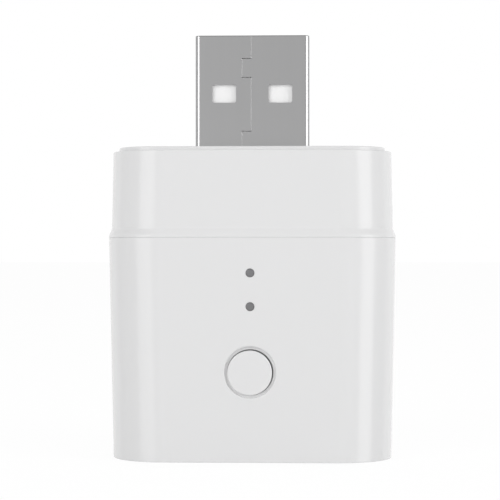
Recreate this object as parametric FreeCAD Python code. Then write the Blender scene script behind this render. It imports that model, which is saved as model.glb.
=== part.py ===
import FreeCAD, Part

import math
import os

# Plug-in smart-home adapter. Millimetres, +Z towards the plug, front face at -Y,
# origin at the middle of the body's bottom face.

# Body shells
body_width = 30.0             # left to right, at the seam
body_depth = 17.0             # front to back, at the seam
lower_height = 22.95          # bottom face to seam
upper_height = 8.95           # seam to top rim
corner_radius = 5.8           # upright corners, at the seam
wall = 1.5
draft_angle = 1.1             # degrees; both shells narrow away from the seam
bottom_round = 0.3
rim_round = 0.25
seam_chamfer = 0.1            # on the upper shell's foot, so that the seam shows as a fine line
least_radius = 0.2
round_steps = 2               # bands in each rounded outer edge

# Flare that brings the upper shell out to the lower one at the seam
flare_setback = 0.26
flare_height = 1.05
flare_steps = 3

# Raised land around the plug
land_height = 0.4
land_inset = 0.85
land_round = 0.42

# Spigot and snaps that hold the shells together
rim_lip = 0.75                # outer part of the lower rim, left standing
spigot_depth = 1.3
spigot_root = 0.4             # length of spigot that grows out of the upper wall
joint_clearance = 0.05
snap_width = 4.0
snap_height = 0.8
snap_reach = 0.3
snap_offset = 7.0             # either side of the middle

# Folded shell of the plug
plug_width = 12.0
plug_height = 4.5
plug_length = 18.75
plug_reach = 11.9             # stands out of the land
sheet = 0.3
plug_corner = 0.4
tip_chamfer = 0.12
slot_clearance = 0.05         # between the plug and the upper shell
collar_wall = 1.0             # collar under the ceiling that steadies the plug
collar_depth = 1.3
window_width = 2.5
window_height = 1.9
window_from_tip = 5.16
window_offset = 2.95          # either side of the middle
window_round = 0.2
plug_seam_gap = 0.07
plug_seam_jog = 1.0
plug_seam_steps = (2.43, 4.41, 10.06)   # where the folded seam changes side, from the tip
leg_width = 1.5
leg_from_back = 0.9
leg_reach = 0.45              # stands out of the board
leg_clearance = 0.1

# Mouldings and contacts of the plug and the socket
contact_offsets = (-3.5, -1.0, 1.0, 3.5)
contact_width = 1.0
contact_sheet = 0.2
insulator_fit = 0.05
plug_tongue = 1.95            # thickness of the plug's moulding
plug_tongue_recess = 0.35
plug_block = 4.0              # solid back end of the plug's moulding
outer_contact_recess = 1.4
inner_contact_recess = 2.4
contact_tail = 0.6            # between the plug's back and its contacts' bend
contact_foot = 1.0
tongue_chamfer = 0.25

# Socket in the bottom face
socket_width = 13.1
socket_height = 5.7
socket_length = 14.0
socket_recess = 0.3
socket_corner = 0.5
lip_flare = 0.4
lip_length = 0.6
opening_clearance = 0.1
opening_round = 0.7
socket_tongue_width = 11.1
socket_tongue = 1.84
socket_tongue_gap = 0.66      # from the tongue to the shell's back wall
socket_tongue_recess = 1.6
socket_block = 3.4
socket_contact_recess = 1.2   # behind the tongue's end
socket_tail = 0.3
socket_leg_steps = (3.2, 10.6)  # legs, from the mouth
finger_width = 1.8
finger_slit = 0.3
finger_start = 2.6            # from the mouth
finger_length = 6.0
finger_bend = 0.78            # share of its length at which a finger turns back
finger_depth = 0.3
finger_offset = 3.1

# Main board, upright behind the front face, and the guides that hold it
board_thickness = 1.2
board_side_gap = 1.6          # board edge to the inner side wall at the floor
board_top_gap = 0.15
pad_height = 0.5
guide_wall = 0.8
guide_engage = 0.8
guide_height = 14.0
guide_clearance = 0.05

# Push button and the switch behind it
button_z = 9.2
button_radius = 2.25
button_edge = 0.15
button_clearance = 0.1
button_hang = 0.045           # the loose cap rests low and to the left in its hole
mouth_radius = 2.74           # outer edge of the groove around the button
mouth_depth = 0.38
boss_height = 0.35
boss_wall = 1.2
button_play = 0.05
flange_extra = 0.6
flange_thickness = 0.6
stem_radius = 1.1
stem_length = 0.38
button_travel = 0.25
switch_size = 4.2
switch_pocket = 1.6
switch_floor = 0.25
cover_sheet = 0.2
cover_tab = 1.4
plunger_radius = 0.85
plunger_spare = 0.25          # left outside the cover when pressed
plunger_flange = 0.4
plunger_flange_thickness = 0.3
plunger_clearance = 0.1
dome_sheet = 0.08
dome_clearance = 0.05
dome_flat = 0.5               # radius of its flat crown
dome_left = 0.3               # left of the dome's height when pressed

# Light guide and the two lights
light_drops = {"upper_led": 3.61, "lower_led": 7.04}   # below the seam
light_radius = 0.43
light_clearance = 0.02
light_recess = 0.05
guide_bar = 0.7
guide_bar_margin = 0.7
guide_stub_radius = 0.7
led_size = (1.6, 0.3, 0.8)
led_lens = (1.0, 0.3, 0.7)
led_bevel = 0.1
led_gap = 0.2

# Board parts: width along X, height off the board, length along Z
radio_chip_size = (5.0, 0.85, 5.0)
crystal_size = (2.5, 0.5, 3.2)
crystal_lid = (2.1, 0.25, 2.8)
antenna_size = (1.6, 1.2, 5.2)
transistor_size = (3.9, 1.5, 4.9)
regulator_size = (1.6, 1.1, 2.9)
fuse_size = (4.5, 0.8, 3.2)
inductor_size = (4.0, 1.8, 4.0)
inductor_round = 0.7
ceramic_size = (3.2, 1.8, 2.5)
small_part_size = (0.8, 0.45, 1.6)
resistor_count = 6
resistor_pitch = 1.5
capacitor_count = 3
capacitor_pitch = 1.0
marker_radius = 0.3           # dimple at the radio chip's first corner
marker_depth = 0.2
marker_inset = 0.8
drum_radius = 1.6             # round recess over the inductor's drum
drum_depth = 0.2
transistor_leads = {"leads": 4, "pitch": 1.27, "lead_width": 0.4, "span": 6.0}
regulator_leads = {"leads": 3, "pitch": 0.95, "lead_width": 0.4, "span": 2.8}
chip_bevel = 0.18
terminal_length = 0.35
terminal_step = 0.04
lead_sheet = 0.2
can_radius = 2.0
can_height = 5.3
can_base = 4.3
can_base_height = 0.8
can_base_cut = 0.9             # two corners, at the positive side
can_round = 0.25
edge_margin = 0.3             # between the outermost parts and the guides
capacitor_gap = 0.25          # below the crystal
antenna_margin = 0.6          # below the board's top

# Derived heights, from the bottom face
slope = math.tan(math.radians(draft_angle))
rim_z = lower_height + upper_height
land_z = rim_z + land_height
ceiling_z = rim_z - wall
plug_tip = land_z + plug_reach
plug_back = plug_tip - plug_length
socket_back = socket_recess + socket_length
board_bottom = wall + pad_height
board_top = ceiling_z - collar_depth - board_top_gap
plug_leg_z = plug_back + leg_from_back + leg_width / 2
socket_tail_z = socket_back + socket_tail
foot_low = plug_back - contact_tail - contact_foot
light_heights = {name: lower_height - drop for name, drop in light_drops.items()}
plunger_reach = button_travel + plunger_spare
dome_rise = button_travel + dome_left
plunger_play = plunger_clearance / 2
switch_height = plunger_play + plunger_flange_thickness + dome_clearance + dome_rise + switch_floor

def front_face(z):
    """Y of the lower shell's front face at a height."""
    return -body_depth / 2 + slope * (lower_height - z)


# Derived depths: the button, the switch and the board stack up behind the front face
button_face = front_face(button_z)
button_seat = button_face + wall + boss_height
flange_front = button_seat + button_play
flange_back = flange_front + flange_thickness
plunger_tip = flange_back + stem_length
cover_front = plunger_tip + plunger_reach
switch_front = cover_front + cover_sheet
board_front = switch_front + switch_height
board_back = board_front + board_thickness
plug_y = board_back + plug_height / 2
socket_y = board_back + socket_height / 2
cavity_inset = slope * (lower_height - wall) + wall
cavity_front = cavity_inset - body_depth / 2
board_half = body_width / 2 - cavity_inset - board_side_gap
parts_half = board_half - guide_engage - edge_margin


def spread(widths):
    """Middles of parts spread evenly across the board, from the left."""
    gap = (2 * parts_half - sum(widths)) / (len(widths) - 1)
    middles = []
    left = -parts_half
    for width in widths:
        middles.append(left + width / 2)
        left += width + gap
    return middles


# Where each board part sits, as X and Z of its middle
radio_chip_x, crystal_x, transistor_x, can_x = spread(
    [radio_chip_size[0], crystal_size[0], transistor_size[2], can_base])
antenna_x, inductor_x, regulator_x, fuse_x = spread(
    [antenna_size[0], inductor_size[0], regulator_leads["span"], fuse_size[0]])
back_row_z = (socket_tail_z + foot_low) / 2
front_row_z = plug_leg_z - leg_width / 2 - leg_clearance - edge_margin - inductor_size[2] / 2
capacitor_column = capacitor_pitch * (capacitor_count - 1) + small_part_size[0]
radio_chip_at = (radio_chip_x, back_row_z)
crystal_at = (crystal_x, back_row_z + (capacitor_column + capacitor_gap) / 2)
small_capacitors_at = (crystal_x, back_row_z - (crystal_size[2] + capacitor_gap) / 2)
transistor_at = (transistor_x, back_row_z)
can_at = (can_x, back_row_z)
antenna_at = (antenna_x, board_top - antenna_margin - antenna_size[2] / 2)
inductor_at = (inductor_x, front_row_z)
regulator_at = (regulator_x, front_row_z)
fuse_at = (fuse_x, front_row_z)
ceramic_at = (
    ceramic_size[0] / 2 - parts_half,
    socket_recess + socket_leg_steps[-1] + leg_width / 2 + edge_margin + ceramic_size[2] / 2)
small_resistors_at = (parts_half - small_part_size[2] / 2, ceramic_at[1])


# General shapes

def vector(x, y, z):
    return FreeCAD.Vector(x, y, z)


def box(low, high):
    """Box between two corners."""
    size = [b - a for a, b in zip(low, high)]
    return Part.makeBox(size[0], size[1], size[2], vector(*low))


def rounded_box(low, high, axis, radius):
    """Box whose four edges along one axis are rounded."""
    solid = box(low, high)
    along = [0.0, 0.0, 0.0]
    along["xyz".index(axis)] = 1.0
    direction = vector(*along)
    edges = [e for e in solid.Edges if abs(e.tangentAt(e.FirstParameter).dot(direction)) > 0.999]
    return solid.makeFillet(radius, edges)


def join(solids):
    """One solid out of pieces that meet."""
    return solids[0].multiFuse(solids[1:]).removeSplitter()


def cut_all(solid, tools):
    return solid.cut(Part.makeCompound(tools))


def strip(points, thickness, width, width_axis):
    """Bent strip of sheet metal that follows level and upright runs."""
    half = [thickness / 2] * 3
    half["xyz".index(width_axis)] = width / 2
    runs = []
    for start, end in zip(points, points[1:]):
        low = [min(a, b) - h for a, b, h in zip(start, end, half)]
        high = [max(a, b) + h for a, b, h in zip(start, end, half)]
        runs.append(box(low, high))
    if len(runs) == 1:
        return runs[0]
    return join(runs)


def rounded_rectangle(width, depth, radius, z, y=0.0):
    """Closed level wire with rounded corners, centred on X = 0 and the given Y."""
    reach_x = width / 2 - radius
    reach_y = depth / 2 - radius
    signs = ((1, 1, 0), (-1, 1, 90), (-1, -1, 180), (1, -1, 270))
    arcs = []
    for sign_x, sign_y, start in signs:
        circle = Part.Circle(vector(sign_x * reach_x, y + sign_y * reach_y, z), vector(0, 0, 1), radius)
        arcs.append(Part.ArcOfCircle(circle, math.radians(start), math.radians(start + 90)))
    edges = []
    for arc, following in zip(arcs, arcs[1:] + arcs[:1]):
        edges.append(arc.toShape())
        edges.append(Part.makeLine(arc.EndPoint, following.StartPoint))
    return Part.Wire(edges)


def rounded_prism(width, depth, radius, low_z, high_z, y=0.0):
    """Upright prism with rounded corners."""
    outline = rounded_rectangle(width, depth, radius, low_z, y)
    return Part.Face(outline).extrude(vector(0, 0, high_z - low_z))


def turned(profile, z):
    """Solid of revolution about a front-to-back axis, from points (radius, y)."""
    points = [vector(r, y, z) for r, y in profile]
    face = Part.Face(Part.makePolygon(points + points[:1]))
    return face.revolve(vector(0, 0, z), vector(0, 1, 0), 360)


def rod(radius, x, z, low_y, high_y):
    """Cylinder that runs front to back."""
    return Part.makeCylinder(radius, high_y - low_y, vector(x, low_y, z), vector(0, 1, 0))


def level_edges(solid, z, least_length=0.0):
    """Edges that lie at one height."""
    found = []
    for edge in solid.Edges:
        bounds = edge.BoundBox
        if abs(bounds.ZMin - z) < 1e-4 and abs(bounds.ZMax - z) < 1e-4 and edge.Length > least_length:
            found.append(edge)
    return found


# Body shells

def body_section(z, lean, inset):
    """Plan outline of the body: a lean keeps its corner radius, and an inset is even all round."""
    total = 2 * (lean + inset)
    radius = max(corner_radius - inset, least_radius)
    return rounded_rectangle(body_width - total, body_depth - total, radius, z)


def body_loft(levels):
    """Solid through plan outlines, given as (z, lean, inset)."""
    return Part.makeLoft([body_section(*level) for level in levels], True, True)


def body_prism(low_z, high_z, lean, inset):
    """Upright solid on a plan outline of the body."""
    return Part.Face(body_section(low_z, lean, inset)).extrude(vector(0, 0, high_z - low_z))


def lower_lean(z):
    return slope * (lower_height - z)


def upper_lean(z):
    return flare_setback + slope * (z - lower_height)


def round_levels(z, lean, inset, radius, side):
    """Outlines of a rounded level edge, from the wall on: side 1 at a top face, -1 at a bottom face."""
    levels = []
    for step in range(round_steps + 1):
        angle = math.radians(90 * step / round_steps)
        height = z - side * radius * (1 - math.sin(angle))
        levels.append((height, lean, inset + radius * (1 - math.cos(angle))))
    return levels


def snap(side, x, grow):
    """Wedge on the spigot, or with grow the pocket for it in the lower rim."""
    root = body_depth / 2 - rim_lip - joint_clearance
    tip = root + snap_reach + grow
    mid_z = lower_height - spigot_depth / 2
    reach_z = snap_height / 2 + grow
    profile = [(root - rim_lip / 2, mid_z - reach_z), (root, mid_z - reach_z), (tip, mid_z),
               (root, mid_z + reach_z), (root - rim_lip / 2, mid_z + reach_z)]
    left = x - snap_width / 2 - grow
    points = [vector(left, side * y, z) for y, z in profile]
    return Part.Face(Part.makePolygon(points + points[:1])).extrude(vector(snap_width + 2 * grow, 0, 0))


def snaps(grow):
    return [snap(side, x, grow) for side in (-1, 1) for x in (-snap_offset, snap_offset)]


def card_guide(side):
    """Upright channel on a side wall that holds the board's edge."""
    inner = board_half - guide_engage
    outer = board_half + board_side_gap + wall / 2
    block = box(
        (inner, board_front - guide_wall, wall / 2),
        (outer, board_back + guide_wall, wall + guide_height))
    slot = box(
        (inner - guide_engage, board_front - guide_clearance, board_bottom),
        (board_half + guide_clearance, board_back + guide_clearance, wall + 2 * guide_height))
    channel = block.cut(slot)
    if side < 0:
        channel = channel.mirror(vector(0, 0, 0), vector(1, 0, 0))
    return channel


def button_mouth():
    """Hole for the button, with the dished groove around it."""
    hole = button_radius + button_clearance
    steepness = (mouth_radius - hole) / mouth_depth
    margin = wall
    return turned([
        (0, button_face - margin),
        (mouth_radius + steepness * margin, button_face - margin),
        (hole, button_face + mouth_depth),
        (hole, button_seat + margin),
        (0, button_seat + margin)], button_z)


def lower_housing():
    """Deep tub with the socket opening, the button hole, the light holes and the board guides."""
    bottom = round_levels(0, lower_lean(0), 0, bottom_round, -1)
    body = body_loft(bottom[::-1] + [(lower_height, 0, 0)])
    cavity = body_prism(wall, lower_height + wall, lower_lean(wall), wall)
    rebate = body_prism(lower_height - spigot_depth - joint_clearance, lower_height + wall, 0, rim_lip)
    opening_width = socket_width + 2 * lip_flare + 2 * opening_clearance
    opening_depth = socket_height + 2 * lip_flare + 2 * opening_clearance
    opening = rounded_prism(opening_width, opening_depth, opening_round, -wall, 2 * wall, socket_y)
    tub = cut_all(body, [cavity, rebate])
    boss_radius = button_radius + button_clearance + boss_wall
    boss = rod(boss_radius, 0, button_z, button_face + wall / 2, button_seat)
    tub = join([tub, boss, card_guide(-1), card_guide(1)])
    holes = [opening, button_mouth()]
    for z in light_heights.values():
        holes.append(rod(light_radius + light_clearance, 0, z, -body_depth, board_front))
    return cut_all(tub, holes + snaps(joint_clearance))


def flare_levels():
    """Outline of the upper shell's foot: a smooth S from the seam to the set-back wall."""
    levels = [(lower_height, 0, seam_chamfer), (lower_height + seam_chamfer, 0, 0)]
    for step in range(1, flare_steps + 1):
        share = step / flare_steps
        z = lower_height + seam_chamfer + share * (flare_height - seam_chamfer)
        ease = share * share * (3 - 2 * share)
        levels.append((z, ease * upper_lean(z), 0))
    return levels


def upper_housing():
    """Cap with the flared foot, the land, the plug slot, the collar and the spigot."""
    lean = upper_lean(rim_z)
    cap = body_loft(flare_levels() + round_levels(rim_z, lean, 0, rim_round, 1))
    land = body_loft([(ceiling_z, lean, land_inset)] + round_levels(land_z, lean, land_inset, land_round, 1))
    cavity = body_loft([
        (lower_height - wall, upper_lean(lower_height), wall),
        (ceiling_z, upper_lean(ceiling_z), wall)])
    outer = body_prism(
        lower_height - spigot_depth, lower_height + spigot_root, 0, rim_lip + joint_clearance)
    inner = body_prism(lower_height - 2 * spigot_depth, lower_height + spigot_depth, 0, wall)
    slot_width = plug_width + 2 * slot_clearance
    slot_depth = plug_height + 2 * slot_clearance
    collar = rounded_prism(
        slot_width + 2 * collar_wall, slot_depth + 2 * collar_wall, plug_corner + collar_wall,
        ceiling_z - collar_depth, ceiling_z + wall / 2, plug_y)
    slot = rounded_prism(
        slot_width, slot_depth, plug_corner + slot_clearance,
        ceiling_z - 2 * collar_depth, land_z + wall, plug_y)
    shell = join([cap.cut(cavity), land, outer.cut(inner), collar] + snaps(0))
    return shell.cut(slot)


# Plug

def folded_tube(width, height, radius, low_z, high_z, y):
    """Sheet-metal tube with rounded corners."""
    outer = rounded_prism(width, height, radius, low_z, high_z, y)
    inner_radius = max(radius - sheet, least_radius / 2)
    inner = rounded_prism(
        width - 2 * sheet, height - 2 * sheet, inner_radius, low_z - sheet, high_z + sheet, y)
    return outer, inner


def moulding_gap(corner):
    """Gap that keeps a square-edged moulding clear of the rounded inner corners of a shell."""
    inner_radius = max(corner - sheet, least_radius / 2)
    return insulator_fit + inner_radius * (1 - math.sqrt(0.5))


def shell_leg(side, width, z):
    """Leg that carries on from a shell's side wall, through the board."""
    edge = width / 2
    low_y = board_front - leg_reach
    high_y = board_back + plug_corner + sheet
    return box(
        (min(side * edge, side * (edge - sheet)), low_y, z - leg_width / 2),
        (max(side * edge, side * (edge - sheet)), high_y, z + leg_width / 2))


def plug_seam():
    """Path of the folded seam down the front wall, interlocked by its jogs."""
    face = plug_y - plug_height / 2 + sheet / 2
    sides = (0, -plug_seam_jog, 0, -plug_seam_jog)
    ends = [plug_tip + sheet] + [plug_tip - step for step in plug_seam_steps] + [plug_back - sheet]
    points = []
    for x, high, low in zip(sides, ends, ends[1:]):
        points.append((x, face, high))
        points.append((x, face, low))
    return strip(points, plug_seam_gap, 2 * sheet, "y")


def plug_shell():
    """Folded shell with its windows, its interlocked seam and two board legs."""
    outer, inner = folded_tube(plug_width, plug_height, plug_corner, plug_back, plug_tip, plug_y)
    outer = outer.makeChamfer(tip_chamfer, level_edges(outer, plug_tip))
    legs = [shell_leg(side, plug_width, plug_leg_z) for side in (-1, 1)]
    shell = join([outer] + legs)
    windows = []
    high = plug_tip - window_from_tip
    for x in (-window_offset, window_offset):
        windows.append(rounded_box(
            (x - window_width / 2, plug_y - plug_height, high - window_height),
            (x + window_width / 2, plug_y + plug_height, high), "y", window_round))
    return cut_all(shell, [inner, plug_seam()] + windows)


def plug_tongue_face():
    """Y of the face of the plug's moulding that carries the contacts."""
    return plug_y - plug_height / 2 + sheet + plug_tongue


def plug_contact(x):
    """Contact blade with a bent tail soldered to the back of the board."""
    recess = outer_contact_recess if abs(x) > max(contact_offsets) / 2 else inner_contact_recess
    blade_y = plug_tongue_face()
    bend_z = plug_back - contact_tail
    foot_y = board_back + contact_sheet / 2
    return strip([
        (x, blade_y, plug_tip - recess),
        (x, blade_y, bend_z),
        (x, foot_y, bend_z),
        (x, foot_y, bend_z - contact_foot)], contact_sheet, contact_width, "x")


def plug_insulator():
    """Moulding inside the plug: a thin tongue and a solid back end."""
    gap = moulding_gap(plug_corner)
    half = plug_width / 2 - sheet - gap
    front = plug_y - plug_height / 2 + sheet + gap
    back = plug_y + plug_height / 2 - sheet - gap
    high = plug_tip - plug_tongue_recess
    tongue = box((-half, front, plug_back), (half, plug_tongue_face(), high))
    tongue = tongue.makeChamfer(tongue_chamfer, level_edges(tongue, high, contact_width * 3))
    block = box((-half, front, plug_back), (half, back, plug_back + plug_block))
    return cut_all(join([tongue, block]), [plug_contact(x) for x in contact_offsets])


# Socket

def socket_lip(inset, low_z):
    """Flared mouth of the socket, or with an inset the space inside it."""
    wide = lip_flare - inset
    mouth = rounded_rectangle(
        socket_width + 2 * wide, socket_height + 2 * wide, socket_corner + wide, low_z, socket_y)
    throat = rounded_rectangle(
        socket_width - 2 * inset, socket_height - 2 * inset, socket_corner - inset,
        socket_recess + lip_length, socket_y)
    return Part.makeLoft([mouth, throat], True, True)


def spring_finger(x, side):
    """Slit around a spring finger, and the finger bent into the socket."""
    face = socket_y + side * socket_height / 2
    root = socket_recess + finger_start
    tip = root + finger_length
    bend = root + finger_bend * finger_length
    half = finger_width / 2
    window = box(
        (x - half - finger_slit, face - 2 * sheet, root),
        (x + half + finger_slit, face + 2 * sheet, tip + finger_slit))
    profile = [(0, root - sheet), (0, root), (finger_depth, bend), (0, tip),
               (sheet, tip), (finger_depth + sheet, bend), (sheet, root), (sheet, root - sheet)]
    points = [vector(x - half, face - side * y, z) for y, z in profile]
    finger = Part.Face(Part.makePolygon(points + points[:1])).extrude(vector(finger_width, 0, 0))
    return window, finger


def socket_shell():
    """Folded shell with flared lips, spring fingers and four board legs."""
    outer, inner = folded_tube(
        socket_width, socket_height, socket_corner, socket_recess + lip_length, socket_back, socket_y)
    legs = []
    for step in socket_leg_steps:
        legs += [shell_leg(side, socket_width, socket_recess + step) for side in (-1, 1)]
    shell = join([outer, socket_lip(0, socket_recess)] + legs)
    shell = cut_all(shell, [inner, socket_lip(sheet, socket_recess - sheet / 10)])
    pairs = [spring_finger(x, side) for x in (-finger_offset, finger_offset) for side in (-1, 1)]
    shell = cut_all(shell, [window for window, finger in pairs])
    return join([shell] + [finger for window, finger in pairs])


def socket_tongue_faces():
    """Front and back Y of the socket's tongue."""
    back = socket_y + socket_height / 2 - sheet - socket_tongue_gap
    return back - socket_tongue, back


def socket_contact(x):
    """Contact blade under the tongue, with a pin through the board."""
    blade_y = socket_tongue_faces()[0]
    low = socket_recess + socket_tongue_recess + socket_contact_recess
    return strip([
        (x, blade_y, low),
        (x, blade_y, socket_tail_z),
        (x, board_front - leg_reach, socket_tail_z)], contact_sheet, contact_width, "x")


def socket_insulator():
    """Moulding inside the socket: a block across the back and the tongue."""
    gap = moulding_gap(socket_corner)
    half = socket_width / 2 - sheet - gap
    low_y = board_back + sheet + gap
    high_y = socket_y + socket_height / 2 - sheet - gap
    block = box((-half, low_y, socket_back - socket_block), (half, high_y, socket_back))
    front, back = socket_tongue_faces()
    low = socket_recess + socket_tongue_recess
    tongue = box(
        (-socket_tongue_width / 2, front, low), (socket_tongue_width / 2, back, socket_back))
    tongue = tongue.makeChamfer(tongue_chamfer, level_edges(tongue, low, contact_width * 3))
    return cut_all(join([block, tongue]), [socket_contact(x) for x in contact_offsets])


# Board

def board_slot(x, z, width, length):
    return box((x - width / 2, board_front - sheet, z - length / 2),
               (x + width / 2, board_back + sheet, z + length / 2))


def main_board():
    """Board with slots for the legs of the plug and the socket."""
    board = box((-board_half, board_front, board_bottom), (board_half, board_back, board_top))
    slots = []
    leg_slot = (sheet + 2 * leg_clearance, leg_width + 2 * leg_clearance)
    legs = [(plug_width, plug_leg_z)]
    legs += [(socket_width, socket_recess + step) for step in socket_leg_steps]
    for width, z in legs:
        for side in (-1, 1):
            slots.append(board_slot(side * (width - sheet) / 2, z, *leg_slot))
    pin_slot = (contact_width + 2 * leg_clearance, contact_sheet + 2 * leg_clearance)
    for x in contact_offsets:
        slots.append(board_slot(x, socket_tail_z, *pin_slot))
    return cut_all(board, slots)


def on_board(shape, place, side):
    """Move a part drawn with its foot on Y = 0 to the back (1) or the front (-1) of the board."""
    face = board_back
    if side < 0:
        shape = shape.rotated(vector(0, 0, 0), vector(0, 0, 1), 180)
        face = board_front
    return shape.translated(vector(place[0], face, place[1]))


def quarter_turn(shape):
    """Part turned by 90 degrees on the board."""
    return shape.rotated(vector(0, 0, 0), vector(0, 1, 0), 90)


def standing_box(size, low_y=0.0):
    """Box of a size (x, y, z), centred, standing on a height off the board."""
    width, height, length = size
    return box((-width / 2, low_y, -length / 2), (width / 2, low_y + height, length / 2))


def outer_edges(solid):
    """Edges of the face that is farthest from the board."""
    top = solid.BoundBox.YMax
    return [e for e in solid.Edges if e.BoundBox.YMin > top - 1e-4]


def chip_part(size, axis):
    """Chip part with a plated terminal at each end of one axis."""
    width, height, length = size
    if axis == "x":
        body = (width, height - terminal_step, length - 2 * terminal_step)
    else:
        body = (width - 2 * terminal_step, height - terminal_step, length)
    low = [-width / 2, 0, -length / 2]
    high = [width / 2, height, length / 2]
    along = "xyz".index(axis)
    first_high = list(high)
    first_high[along] = low[along] + terminal_length
    second_low = list(low)
    second_low[along] = high[along] - terminal_length
    return join([standing_box(body), box(low, first_high), box(second_low, high)])


def leaded_chip(size, leads, pitch, lead_width, span):
    """Moulded chip with bent leads along both sides."""
    width, height, length = size
    body = standing_box((width, height - lead_sheet / 2, length), lead_sheet / 2)
    body = body.makeChamfer(chip_bevel, outer_edges(body))
    pieces = [body]
    knee = (width / 2 + span / 2) / 2
    shoulder = height / 2
    for index in range(leads):
        z = (index - (leads - 1) / 2) * pitch
        for side in (-1, 1):
            pieces.append(strip([
                (side * (width / 2 - lead_sheet), shoulder, z),
                (side * knee, shoulder, z),
                (side * knee, lead_sheet / 2, z),
                (side * (span / 2 - lead_sheet / 2), lead_sheet / 2, z)], lead_sheet, lead_width, "z"))
    return join(pieces)


def radio_chip():
    width, height, length = radio_chip_size
    marker = rod(
        marker_radius, marker_inset - width / 2, length / 2 - marker_inset, height - marker_depth, 2 * height)
    return on_board(standing_box(radio_chip_size).cut(marker), radio_chip_at, 1)


def radio_crystal():
    base = standing_box(crystal_size)
    lid = standing_box(crystal_lid, crystal_size[1])
    return on_board(join([base, lid]), crystal_at, 1)


def output_capacitor():
    """Can capacitor on its base, which has two cut corners."""
    half = can_base / 2
    base = box((-half, 0, -half), (half, can_base_height, half))
    upright = [e for e in base.Edges if e.BoundBox.YMax - e.BoundBox.YMin > sheet]
    base = base.makeChamfer(can_base_cut, [e for e in upright if e.BoundBox.XMin > half - sheet])
    can = turned([
        (0, can_base_height / 2),
        (can_radius, can_base_height / 2),
        (can_radius, can_height - can_round),
        (can_radius - can_round, can_height),
        (0, can_height)], 0)
    return on_board(join([base, can]), can_at, 1)


def inductor():
    """Shielded coil: a square frame with a round recess over its drum."""
    width, height, length = inductor_size
    frame = rounded_box(
        (-width / 2, 0, -length / 2), (width / 2, height, length / 2), "y", inductor_round)
    recess = rod(drum_radius, 0, 0, height - drum_depth, 2 * height)
    return on_board(frame.cut(recess), inductor_at, -1)


def column_of_parts(place, count, pitch, side):
    """Group of like chip parts, one above the other."""
    parts = []
    for index in range(count):
        z = place[1] + (index - (count - 1) / 2) * pitch
        part = quarter_turn(chip_part(small_part_size, "z"))
        parts.append(on_board(part, (place[0], z), side))
    return Part.makeCompound(parts)


def light(name):
    """Surface-mounted light with a small lens towards the front."""
    body = standing_box(led_size)
    lens = standing_box(led_lens, led_size[1])
    lens = lens.makeChamfer(led_bevel, outer_edges(lens))
    return on_board(join([body, lens]), (0, light_heights[name]), -1)


def light_guide():
    """Clear moulding: two pins through the front wall, joined by a bar, with a stub to each light."""
    heights = sorted(light_heights.values())
    low_z = heights[0] - guide_bar_margin
    high_z = heights[-1] + guide_bar_margin
    bar_front = cavity_front
    bar_back = bar_front + guide_bar
    stub_end = board_front - led_size[1] - led_lens[1] - led_gap
    pieces = [box((-guide_bar_margin, bar_front, low_z), (guide_bar_margin, bar_back, high_z))]
    for z in heights:
        pieces.append(rod(light_radius, 0, z, front_face(z) + light_recess, bar_back))
        pieces.append(rod(guide_stub_radius, 0, z, bar_front + guide_bar / 2, stub_end))
    return join(pieces)


# Button and switch

def button_cap():
    """Round cap with a flange behind the wall and a stem to the switch, hung in its hole."""
    flange = button_radius + button_clearance + flange_extra
    cap = turned([
        (0, button_face),
        (button_radius - button_edge, button_face),
        (button_radius, button_face + button_edge),
        (button_radius, flange_front),
        (flange, flange_front),
        (flange, flange_back),
        (stem_radius, flange_back),
        (stem_radius, plunger_tip),
        (0, plunger_tip)], button_z)
    return cap.translated(vector(-button_hang, 0, -button_hang))


def switch_base():
    """Moulded base with a round pocket for the dome."""
    half = switch_size / 2
    base = box((-half, switch_front, button_z - half), (half, board_front, button_z + half))
    pocket = rod(switch_pocket, 0, button_z, switch_front - cover_sheet, board_front - switch_floor)
    return base.cut(pocket)


def switch_cover():
    """Sheet cover with the plunger hole and a tab folded down each side."""
    half = switch_size / 2
    plate = box(
        (-half - cover_sheet, cover_front, button_z - half),
        (half + cover_sheet, switch_front, button_z + half))
    tabs = []
    for side in (-1, 1):
        middle = side * (half + cover_sheet / 2)
        tabs.append(strip([
            (middle, cover_front + cover_sheet / 2, button_z),
            (middle, board_front - switch_floor, button_z)], cover_sheet, cover_tab, "z"))
    hole = rod(
        plunger_radius + plunger_clearance, 0, button_z,
        cover_front - cover_sheet, switch_front + cover_sheet)
    return join([plate] + tabs).cut(hole)


def plunger_flange_back():
    return switch_front + plunger_play + plunger_flange_thickness


def switch_plunger():
    """Plunger held under the cover by its flange."""
    front = switch_front + plunger_play
    return turned([
        (0, plunger_tip),
        (plunger_radius, plunger_tip),
        (plunger_radius, front),
        (plunger_radius + plunger_flange, front),
        (plunger_radius + plunger_flange, plunger_flange_back()),
        (0, plunger_flange_back())], button_z)


def switch_dome():
    """Thin snap dome, dished towards the plunger, on the floor of the switch's pocket."""
    floor = board_front - switch_floor
    crown = floor - dome_rise
    rim = switch_pocket - plunger_clearance
    return turned([
        (0, crown),
        (dome_flat, crown),
        (rim, floor - dome_sheet),
        (rim, floor),
        (dome_flat, crown + dome_sheet),
        (0, crown + dome_sheet)], button_z)


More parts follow.
